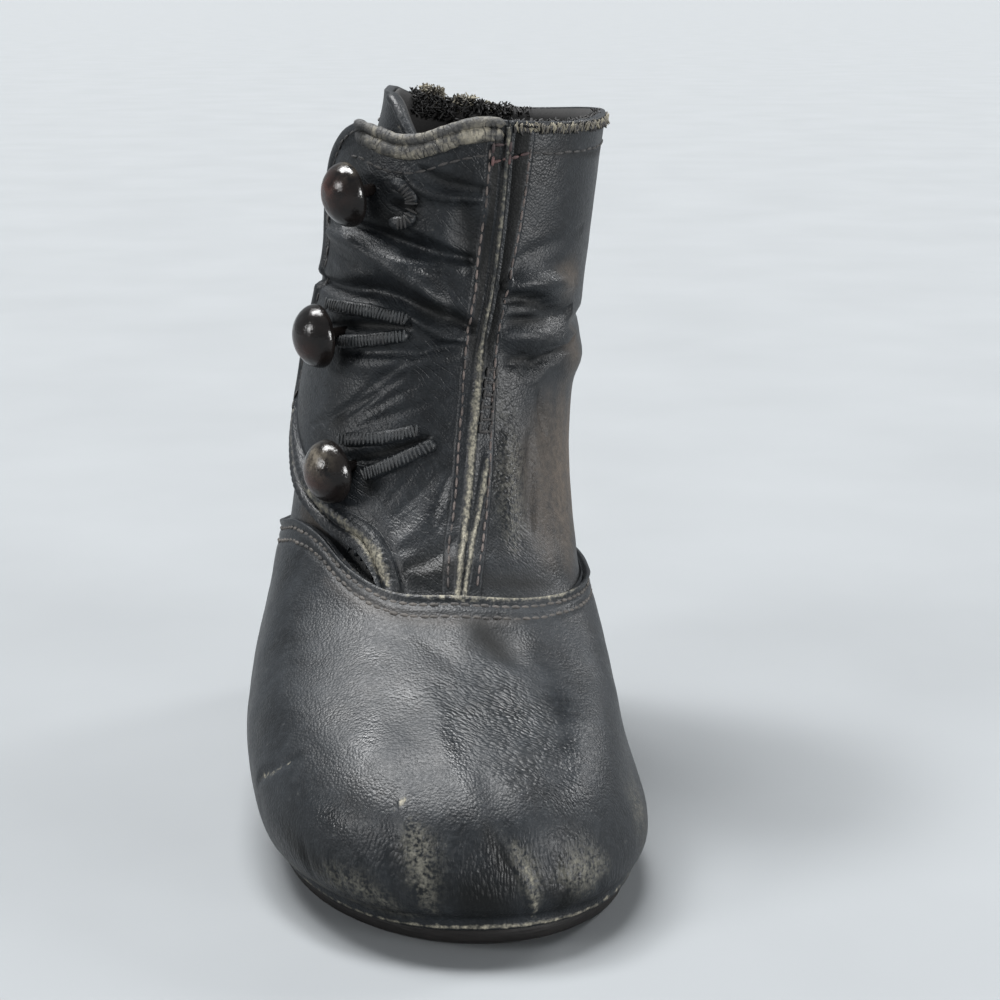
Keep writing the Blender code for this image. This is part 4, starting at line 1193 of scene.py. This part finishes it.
def strip_place(u, w):
    height = STRIP_FOOT + (STRIP_TOP - STRIP_FOOT) * w
    left = seam_angle("left", height) - STRIP_MARGIN
    angle = left + (seam_angle("right", height) + STRIP_MARGIN - left) * u
    flap_top = edge_height(FLAP_TOP_LINE, np.minimum(angle, FLAP_SEAM_ANGLE))
    top = np.minimum(collar_height(np.maximum(angle, 11.0)), flap_top) - 0.8
    height = np.minimum(height, top)
    points, bare, rib = strip_skin(angle, height)
    bright = 0.5 + 0.35 * (1 - smooth_step(60.0, 76.0, height))
    left_row, right_row = seam_angle("left", height), seam_angle("right", height)
    between = smooth_step(0.0, 1.5, angle - left_row) * smooth_step(0.0, 1.5, right_row - angle)
    # Painted shade: the flap's painted shade goes on across the strip, and higher up the strip is near
    # black between the stitch rows on both sides of the rib, where it lies in shade
    dark = np.maximum(painted(bare, FLAP_MARKS["dark"]), between * smooth_step(62.0, 70.0, height))
    return points, {"wear": bright * rib, "dark": dark * (1 - rib)}


front_seam = bent_sheet("front_seam_strip", 48, 190, strip_place, KID)
thicken(front_seam, STRIP_LEATHER)
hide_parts("front_seam")

# %% [markdown]
# ## Rolled bindings
# A narrow tape is rolled over the cut edge at the top of the flap and shows as two rolls. The sloping
# corner of the outer quarter has a roll of its own leather. Each is a grid wrapped into a tube along
# a line on the leather and closed to a point at its ends.

# %% Rolls along the top edges
TAPE_STEP = 0.5             # length of a face along a roll
TAPE_SIDES = 14
TAPE_END = 1.2              # length over which a roll closes
BINDING_DARK_END = (1.0, 7.0)      # the binding's outer corner is dark


def read_along(tables, along, at):
    """Vectors given along a line, read at other distances."""
    return [np.stack([np.interp(at, along, table[:, axis]) for axis in range(3)], -1) for table in tables]


def rolled_tape(name, lines, radius, out_share, material, grime=0.0):
    """Tubes along lines of points and normals, flattened by out_share; one piece for each line."""
    for k, (line, normals) in enumerate(lines):
        along = distances(line)
        tangents = np.gradient(line, axis=0)
        tangents /= np.linalg.norm(tangents, axis=1, keepdims=True)

        def place(u, w):
            at = u * along[-1]
            centre, out, run = read_along((line, normals, tangents), along, at)
            ends = np.sqrt(np.clip(np.minimum(at, along[-1] - at) / TAPE_END, 0.0, 1.0))
            lumps = 1 + 0.05 * np.sin(at * 1.3 + k) + 0.04 * np.sin(at * 3.7 + 2 * k)
            turn = 2 * np.pi * w[:, None]
            across = np.cos(turn) * out * out_share + np.sin(turn) * np.cross(run, out)
            dark = np.maximum(1 - smooth_step(*BINDING_DARK_END, at), grime) * (material is BINDING)
            return centre + (radius * ends * lumps)[:, None] * across, {"dark": dark}

        bent_sheet(f"{name}_{k}", max(int(along[-1] / TAPE_STEP), 8), TAPE_SIDES, place, material,
                   closed=True, uv_size=(along[-1], 2 * np.pi * radius))


def skin_line(skin, angles, heights, lift=0.0):
    """A line of points on a skin, with the boot's normals, raised by a lift."""
    points = skin(angles, heights)[0]
    normals = outward(angles, ring_at(angles, heights))
    return points + normals * lift, normals


flap_top_angles = np.linspace(-50.0, 9.5, 90)
flap_top_heights = edge_height(FLAP_TOP_LINE, np.maximum(flap_top_angles, -48.0))
underlap_angles = np.linspace(-50.0, -12.0, 60)
underlap = skin_line(quarter_skin, underlap_angles, collar_height(underlap_angles) - 0.5)
upper_roll = skin_line(flap_skin, flap_top_angles, flap_top_heights - 0.5)
lower_roll = skin_line(flap_skin, flap_top_angles, flap_top_heights - 2.2)
# The binding is painted darker towards its outer corner, and the upper roll darker all along
rolled_tape("flap_binding_upper", [upper_roll], 0.85, 0.9, BINDING, 0.4)
rolled_tape("flap_binding_lower", [lower_roll], 1.1, 0.75, BINDING)
rolled_tape("underlap_roll", [underlap], 0.75, 1.0, KID)

# %% [markdown]
# ## Sewing
# Stitches are small threads lying on the leather. A row is a line of points on a skin; every pitch
# of it gets one stretched ball of a few faces, half sunk, pointing along the row. Rows on the vamp,
# the seam and the flap are joined into one piece each.

# %% A stitch and a row of stitches
STITCH_SIDES = 6
STITCH_RINGS = 4
STITCH_FLATNESS = 0.8
STITCH_SHARE = 0.92         # of the pitch that a stitch fills
STITCH_WOBBLE = 0.05


def add_stitch(bm, centre, run, out, length, radius):
    """One stitch in millimetres: a stretched ball along run, flattened a little towards the leather."""
    run = run / np.linalg.norm(run)
    side = np.cross(out, run)
    side /= np.linalg.norm(side)
    up = np.cross(run, side)
    axes = np.stack([side * radius, up * radius * STITCH_FLATNESS, run * length / 2], axis=1)
    matrix = Matrix.Translation(Vector(centre * MM)) @ Matrix((axes * MM).tolist()).to_4x4()
    bmesh.ops.create_uvsphere(bm, u_segments=STITCH_SIDES, v_segments=STITCH_RINGS, radius=1.0,
                              matrix=matrix)


def gather(bm, batch):
    """Moves a small mesh into a large one; adding shapes one by one to a large mesh is slow."""
    mesh = bpy.data.meshes.new("batch")
    batch.to_mesh(mesh)
    batch.free()
    bm.from_mesh(mesh)
    bpy.data.meshes.remove(mesh)


def stitch_rows(name, rows, pitch, radius, material):
    """Rows of stitches; each row is a line of points and its normals."""
    bm = bmesh.new()
    for line, normals in rows:
        batch = bmesh.new()
        along = distances(line)
        count = max(int(along[-1] / pitch), 1)
        corners, outs = read_along((line, normals), along, np.linspace(0.0, along[-1], count + 1))
        for k in range(count):
            wobble = random.normal(0.0, STITCH_WOBBLE, 3)
            run = corners[k + 1] - corners[k]
            centre = (corners[k] + corners[k + 1]) / 2 + wobble
            add_stitch(batch, centre, run, outs[k], STITCH_SHARE * np.linalg.norm(run), radius)
        gather(bm, batch)
    finished(name, bm, material)


print("faces of a stitch:", STITCH_SIDES * STITCH_RINGS)

# %% Rows on the vamp and the seam
def vamp_ring(angles, inset):
    """The ring that lies an inset in millimetres inside the vamp's lip."""
    top = ring_at(angles, vamp_height(angles))
    step = 0.05
    speed = np.linalg.norm(last_point(angles, top) - last_point(angles, top - step), axis=1) / step
    return top - inset / speed


def vamp_row(inset):
    angles = np.linspace(-180.0, 180.0, 420)
    ring = vamp_ring(angles, inset)
    return vamp_skin(angles, ring)[0], outward(angles, ring)


stitch_rows("vamp_stitches", [vamp_row(1.7), vamp_row(3.8)], 1.45, 0.34, VAMP_THREAD)
seam_heights = np.linspace(36.5, 97.0, 120)
stitch_rows("seam_stitches", [
    skin_line(strip_skin, seam_angle(row, seam_heights), seam_heights) for row in ("left", "right")
], 1.7, 0.2, SEAM_THREAD)

# A mended place beside the seam: rungs at these heights between two uprights at these angles
LADDER_RUNGS = (65.4, 63.6, 61.8, 60.0, 58.2, 56.4)
LADDER_SIDES = (13.4, 17.4)
ladder = [(np.linspace(13.0, 17.8, 6), np.full(6, height)) for height in LADDER_RUNGS]
ladder += [(np.full(20, angle), np.linspace(66.0, 56.0, 20)) for angle in LADDER_SIDES]
stitch_rows("seam_ladder", [skin_line(strip_skin, *row, 0.15) for row in ladder], 1.5, 0.26,
            BLACK_THREAD)
# A bar tack at the top of the seam
tack = (
    (np.linspace(5.5, 19.0, 12), np.linspace(95.0, 96.4, 12)),
    (np.linspace(5.5, 12.0, 8), np.full(8, 97.6)),
    (np.full(8, 11.6), np.linspace(94.6, 98.0, 8)),
    (np.full(8, 6.0), np.linspace(94.4, 97.8, 8)),
)
stitch_rows("seam_bar_tack", [skin_line(strip_skin, *row, 0.4) for row in tack], 1.6, 0.26,
            TACK_THREAD)

# %% Rows on the flap and the quarters
def flap_row(inset):
    """A row inside the flap's free edge."""
    shares = np.linspace(0.34, 0.985, 240)
    line = flap_grid(np.zeros_like(shares), shares)
    inner = flap_grid(np.full_like(shares, 0.02), shares)
    here = last_point(line[0], ring_at(*line))
    there = last_point(inner[0], ring_at(*inner))
    step = inset / np.linalg.norm(there - here, axis=1)
    angle, height = (a + (b - a) * step for a, b in zip(line, inner))
    return skin_line(flap_skin, angle, height, 0.02)


top_row_angles = np.linspace(-52.0, 4.0, 90)
top_row_heights = edge_height(FLAP_TOP_LINE, np.clip(top_row_angles, -48, 10)) - 5.2
stitch_rows("flap_stitches", [
    flap_row(2.2), skin_line(flap_skin, top_row_angles, top_row_heights, 0.02),
], 1.7, 0.24, BLACK_THREAD)
heel_heights = np.linspace(35.0, 100.0, 90)
collar_angles = np.linspace(14.0, 290.0, 300)
stitch_rows("quarter_stitches", [
    skin_line(quarter_skin, np.full(90, 177.2), heel_heights, 0.02),
    skin_line(quarter_skin, np.full(90, -177.2), heel_heights, 0.02),
    skin_line(quarter_skin, wrapped(collar_angles), collar_height(collar_angles) - 4.4, 0.02),
], 2.0, 0.24, BLACK_THREAD)

# %% [markdown]
# ## The frayed collar
# The collar of the inner quarter is overcast with cream cotton. The black lining behind it has worn to
# fuzz, and at the back it has frayed into tufts, with cream ends of the cloth between them. A thread
# is a thin cone; many of them make the fray.

# %% Overcast edge
BATCH = 50
OVERCAST = (12.0, 100.0)    # angles between which the collar is overcast


def overcast_edge(name, count, low, material):
    """Short upright stitches over the collar's edge, uneven as hand sewing is."""
    bm = bmesh.new()
    places = np.sort(random.uniform(*OVERCAST, count))
    line, outs = skin_line(quarter_skin, places, collar_height(places) - low, 0.2)
    for k in range(0, count, BATCH):
        batch = bmesh.new()
        for centre, out in zip(line[k:k + BATCH], outs[k:k + BATCH]):
            run = np.array((random.normal(0.0, 0.35), 0.0, 1.0))
            middle = centre + random.normal(0.0, 0.15, 3)
            add_stitch(batch, middle, run, out, random.uniform(0.8, 1.5), random.uniform(0.12, 0.22))
        gather(bm, batch)
    finished(name, bm, material)


overcast_edge("collar_overcast", 300, 0.9, CREAM_THREAD)
overcast_edge("collar_overcast_dark", 200, 1.1, BLACK_THREAD)

# %% Loose threads
# A patch of loose threads: from one angle to another, heights above the collar, depth inside it
Fray = namedtuple("Fray", "start end low high deep count length lean")
FRAY_RADIUS = 0.2           # of a loose thread at its root and at its tip
FRAY_TIP = 0.08
BLACK_FRAYS = (
    Fray(172.0, 214.0, -3.0, 0.6, 1.8, 680, 1.3, 0.4),
    Fray(158.0, 176.0, -2.4, 0.2, 1.6, 260, 1.1, 0.3),
    Fray(146.0, 162.0, -1.6, -0.2, 1.2, 120, 0.8, 0.3),
    Fray(12.0, 84.0, -1.0, 0.1, 1.2, 480, 0.6, 0.6),
)
CREAM_FRAYS = (
    Fray(188.0, 203.0, 0.0, 1.6, 1.2, 200, 1.6, 0.6),
    Fray(176.0, 183.0, -0.4, 1.0, 1.4, 90, 1.5, 0.6),
    Fray(168.0, 173.0, -0.6, 0.2, 1.2, 26, 1.2, 0.6),
)


def frayed_threads(name, frays, material):
    """Loose threads at the collar, each a thin cone pointing its own way."""
    bm = bmesh.new()
    for fray in frays:
        angles = random.uniform(fray.start, fray.end, fray.count)
        rises = random.uniform(fray.low, fray.high, fray.count)
        feet, outs = skin_line(quarter_skin, wrapped(angles), collar_height(angles) + rises, -0.9)
        feet = feet - outs * random.uniform(0.0, fray.deep, fray.count)[:, None]
        leans = random.normal(0.0, 1.0, feet.shape) - 0.5 * outs + (0.0, 0.0, fray.lean)
        lengths = fray.length * random.uniform(0.5, 1.4, fray.count)
        threads = list(zip(feet, leans, lengths))
        for k in range(0, fray.count, BATCH):
            batch = bmesh.new()
            for foot, lean, length in threads[k:k + BATCH]:
                turn = Vector(lean).to_track_quat("Z", "Y").to_matrix().to_4x4()
                stand = Matrix.Translation(Vector(foot * MM)) @ turn
                bmesh.ops.create_cone(batch, segments=4, radius1=FRAY_RADIUS * MM, radius2=FRAY_TIP * MM,
                                      depth=length * MM, matrix=stand)
            gather(bm, batch)
    finished(name, bm, material)


frayed_threads("frayed_lining", BLACK_FRAYS, FUZZ)
frayed_threads("frayed_cloth", CREAM_FRAYS, CREAM_THREAD)
print("loose threads:", sum(fray.count for fray in BLACK_FRAYS + CREAM_FRAYS))

# %% [markdown]
# ## Worked buttonholes
# Each hole is edged by hand: a cord lies along both sides of the slit and close thread stitches
# cross it. The cord is a rolled tape, and the stitches are the same small threads, turned across.

# %% Buttonhole edges
CORD_RADIUS = 1.05
CORD_FLATNESS = 0.75
TWIST_PITCH = 0.55
TWIST_LENGTH = 1.9
TWIST_RADIUS = 0.24


def hole_edges(hole):
    """Lines of points along a hole's two edges, with normals."""
    return [skin_line(flap_skin, *path_places(path, 40), 0.15) for path in (hole.upper, hole.lower)]


hole_lines = [line for hole in BUTTONHOLES for line in hole_edges(hole)]
rolled_tape("buttonhole_cord", hole_lines, CORD_RADIUS, CORD_FLATNESS, KID)


def worked_edges(name, holes, thread):
    """Close stitches across both edges of each hole."""
    bm = bmesh.new()
    for hole in holes:
        for line, normals in hole_edges(hole):
            tangents = np.gradient(line, axis=0)
            length = distances(line)[-1]
            for at in np.arange(0.4 + hole.worn_to * length, length - 0.3, TWIST_PITCH):
                k = at / length * (len(line) - 1)
                low = int(k)
                centre = line[low] + (line[low + 1] - line[low]) * (k - low)
                run = tangents[low] / np.linalg.norm(tangents[low])
                slanted = np.cross(normals[low], run) + run * random.normal(0.1, 0.15)
                centre = centre + normals[low] * (CORD_RADIUS * 0.66)
                length_here = random.normal(TWIST_LENGTH, 0.15)
                add_stitch(bm, centre, slanted, normals[low], length_here, TWIST_RADIUS)
    finished(name, bm, thread)


# The top hole is worn and black, the other two still show their grey twist
worked_edges("buttonhole_stitches_worn", BUTTONHOLES[:1], FUZZ)
worked_edges("buttonhole_stitches", BUTTONHOLES[1:], HOLE_THREAD)

# %% [markdown]
# ## Buttons
# Domed shank buttons of pressed composition. A button is turned: its half outline is a chain of
# edges, and spin sweeps it a full turn about its axis. Grime and rubbed spots are painted by how
# near a point lies to a spot on the head.

# %% Turning the buttons
Turned = namedtuple("Turned", "radius height")
BUTTON_PROFILE = (
    Turned(0.0, 8.9), Turned(0.7, 8.87), Turned(1.4, 8.75), Turned(2.1, 8.5), Turned(2.8, 8.15),
    Turned(3.4, 7.7), Turned(3.9, 7.2), Turned(4.3, 6.65), Turned(4.55, 6.1), Turned(4.7, 5.5),
    Turned(4.7, 5.1), Turned(4.55, 4.75), Turned(4.2, 4.4), Turned(3.4, 4.05), Turned(2.2, 3.85),
    Turned(0.9, 3.8), Turned(0.9, 0.6), Turned(0.0, 0.6),
)
HEAD_MIDDLE = 6.0           # from the foot of the shank
BUTTON_STEPS = 48
# Spots on a head: across the boot and up from the head's middle, in millimetres
Spot = namedtuple("Spot", "button mark across up size amount")
SPOTS = (
    Spot("button_top", "dust", -3.2, 0.5, 2.6, 1.0),
    Spot("button_top", "wear", 1.0, 4.2, 1.2, 0.4),
    Spot("button_middle", "dust", -2.4, -2.6, 2.0, 0.9),
    Spot("button_bottom", "wear", -1.6, 2.2, 1.9, 0.75),
    Spot("button_bottom", "dust", -3.0, -1.0, 2.4, 0.8),
)


def turned_button(button):
    angle = np.array([button.angle])
    ring = ring_at(angle, np.array([button.height]))
    foot = last_point(angle, ring)[0]
    face = np.radians(button.face)
    droop = np.radians(button.droop)
    axis = Vector((np.sin(face) * np.cos(droop), -np.cos(face) * np.cos(droop), -np.sin(droop)))
    bm = bmesh.new()
    outline = [bm.verts.new((point.radius * MM, 0.0, point.height * MM)) for point in BUTTON_PROFILE]
    edges = [bm.edges.new(pair) for pair in zip(outline, outline[1:])]
    bmesh.ops.spin(bm, geom=outline + edges, cent=(0, 0, 0), axis=(0, 0, 1), angle=2 * np.pi,
                   steps=BUTTON_STEPS, use_merge=True)
    bmesh.ops.remove_doubles(bm, verts=bm.verts, dist=0.01 * MM)
    turn = Matrix.Translation(Vector(foot * MM)) @ axis.to_track_quat("Z", "Y").to_matrix().to_4x4()
    bmesh.ops.transform(bm, matrix=turn, verts=bm.verts)
    middle = foot + np.array(axis) * HEAD_MIDDLE
    for mark in ("wear", "dust"):
        layer = bm.verts.layers.float.new(mark)
        for spot in SPOTS:
            if (spot.button, spot.mark) == (button.name, mark):
                for vert in bm.verts:
                    offset = np.array(vert.co) / MM - middle - (spot.across, 0.0, spot.up)
                    away = np.hypot(offset[0], offset[2])
                    vert[layer] = max(vert[layer], spot.amount * float(np.exp(-(away / spot.size) ** 2)))
    piece = finished(button.name + "_turned", bm, COMPOSITION, recalculate=True)
    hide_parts(button.name)


for button in BUTTONS:
    turned_button(button)

# %% [markdown]
# ## Sole and insole
# The sole is one thin plate of leather that follows the feather line, with rounded edges. It is a
# grid wrapped round the plate's section from toe to heel and closed at both ends. The insole's
# solid is already right and only gets its leather.

# %% Outsole
SOLE_THICKNESS = 3.0
SOLE_REACH = 0.5
SOLE_END = 0.01             # degrees short of toe and heel, where both sides meet
# Once round the plate's section: share of the way round, across from the outer to the inner side,
# millimetres in from the outline, and the share of the thickness
SoleStation = namedtuple("SoleStation", "share across inset up")
SOLE_SECTION = (
    SoleStation(0.00, 0.0, 1.2, 0.00), SoleStation(0.34, 1.0, 1.2, 0.00),
    SoleStation(0.39, 1.0, 0.25, 0.20), SoleStation(0.42, 1.0, 0.0, 0.45),
    SoleStation(0.46, 1.0, 0.0, 0.73), SoleStation(0.50, 1.0, 0.6, 1.00),
    SoleStation(0.84, 0.0, 0.6, 1.00), SoleStation(0.88, 0.0, 0.0, 0.73),
    SoleStation(0.92, 0.0, 0.0, 0.45), SoleStation(0.96, 0.0, 0.25, 0.20),
    SoleStation(1.00, 0.0, 1.2, 0.00),
)


def sole_place(u, w):
    table = np.array(SOLE_SECTION)
    across, inset, up = (np.interp(u, table[:, 0], table[:, k]) for k in (1, 2, 3))
    angle = SOLE_END + (180.0 - 2 * SOLE_END) * crowded(w, 0.4)
    sides = []
    for turn in (-angle, angle):
        feather = last_point(turn, np.zeros_like(turn))
        out = outward(turn, np.zeros_like(turn))
        out[:, 2] = 0.0
        out /= np.linalg.norm(out, axis=1, keepdims=True)
        sides.append(feather + out * (SOLE_REACH - inset)[:, None])
    points = sides[0] + (sides[1] - sides[0]) * across[:, None]
    points[:, 2] = tread_height(points[:, 1]) + SOLE_THICKNESS * up
    return points, {}


outsole = bent_sheet("outsole_plate", 72, 150, sole_place, OUTSOLE_LEATHER, closed=True)
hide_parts("outsole")
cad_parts["insole"].data.materials.clear()
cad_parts["insole"].data.materials.append(INSOLE_LEATHER)

# %% [markdown]
# ## Floor, light and camera
# A pale floor and soft light from a window at the left, from above and from low on the right. The
# camera stands low in front of the toe with a long lens and looks a little down, so the far rim of
# the collar just shows.

# %% Floor and room
FLOOR_RADIUS = 45.0         # metres, so that its edge is far out of sight
bm = bmesh.new()
bmesh.ops.create_circle(bm, cap_ends=True, segments=96, radius=FLOOR_RADIUS)
floor = bpy.data.objects.new("floor", bpy.data.meshes.new("floor"))
bm.to_mesh(floor.data)
bm.free()
bpy.context.scene.collection.objects.link(floor)
paper, node, shader = new_material("matt_backdrop_paper")
clouds = node("range", node("noise", node("place"), per_mm(60.0), 3.0), 0.3, 0.7)
plug(shader, {"Base Color": node("mix", clouds, "#676a6c", "#6b6e70"), "Roughness": 0.9})
floor.data.materials.append(paper)

world = bpy.data.worlds.new("soft_room")
world.use_nodes = True
plug(world.node_tree.nodes["Background"], {"Color": "#dfe5ea", "Strength": 0.5})
bpy.context.scene.world = world
bpy.context.scene.view_settings.view_transform = "Standard"
print("stage:", floor.name, "and", world.name)

# %% Lamps
# Each light is far away, so that the floor is lit evenly: where it comes from, how wide it looks in
# degrees, and its strength in watts on a square metre
Lamp = namedtuple("Lamp", "name towards width strength")
LAMPS = (
    Lamp("window", (-0.78, -0.38, 0.34), 18.0, 2.5),
    Lamp("ceiling_left", (-0.40, 0.20, 0.80), 13.0, 2.2),
    Lamp("ceiling_middle", (0.02, 0.08, 0.80), 14.0, 3.1),
    Lamp("ceiling_right", (0.62, 0.32, 0.47), 15.0, 1.8),
    Lamp("low_right", (0.55, -0.42, 0.07), 24.0, 5.2),
    Lamp("skylight", (-0.24, 0.21, 0.95), 25.0, 4.6),
)
for lamp in LAMPS:
    light = bpy.data.lights.new(lamp.name, "SUN")
    light.angle = np.radians(lamp.width)
    light.energy = lamp.strength
    holder = bpy.data.objects.new(lamp.name, light)
    holder.rotation_euler = Vector(lamp.towards).to_track_quat("Z", "Y").to_euler()
    bpy.context.scene.collection.objects.link(holder)
print("lamps:", len(LAMPS))

# %% Camera
CAMERA_PLACE = (-0.000561, -0.286784, 0.119041)
CAMERA_TILT = 75.62         # degrees from straight down
CAMERA_TURN = -1.92
CAMERA_LENS = 72.0          # millimetres, on a sensor this wide
SENSOR_WIDTH = 36.0
camera = bpy.data.objects.new("camera", bpy.data.cameras.new("camera"))
camera.location = CAMERA_PLACE
camera.rotation_euler = (np.radians(CAMERA_TILT), 0.0, np.radians(CAMERA_TURN))
camera.data.lens = CAMERA_LENS
camera.data.sensor_width = SENSOR_WIDTH
camera.data.clip_start = 0.01
camera.data.clip_end = 100.0
bpy.context.scene.collection.objects.link(camera)
bpy.context.scene.camera = camera
print("camera at:", CAMERA_PLACE)
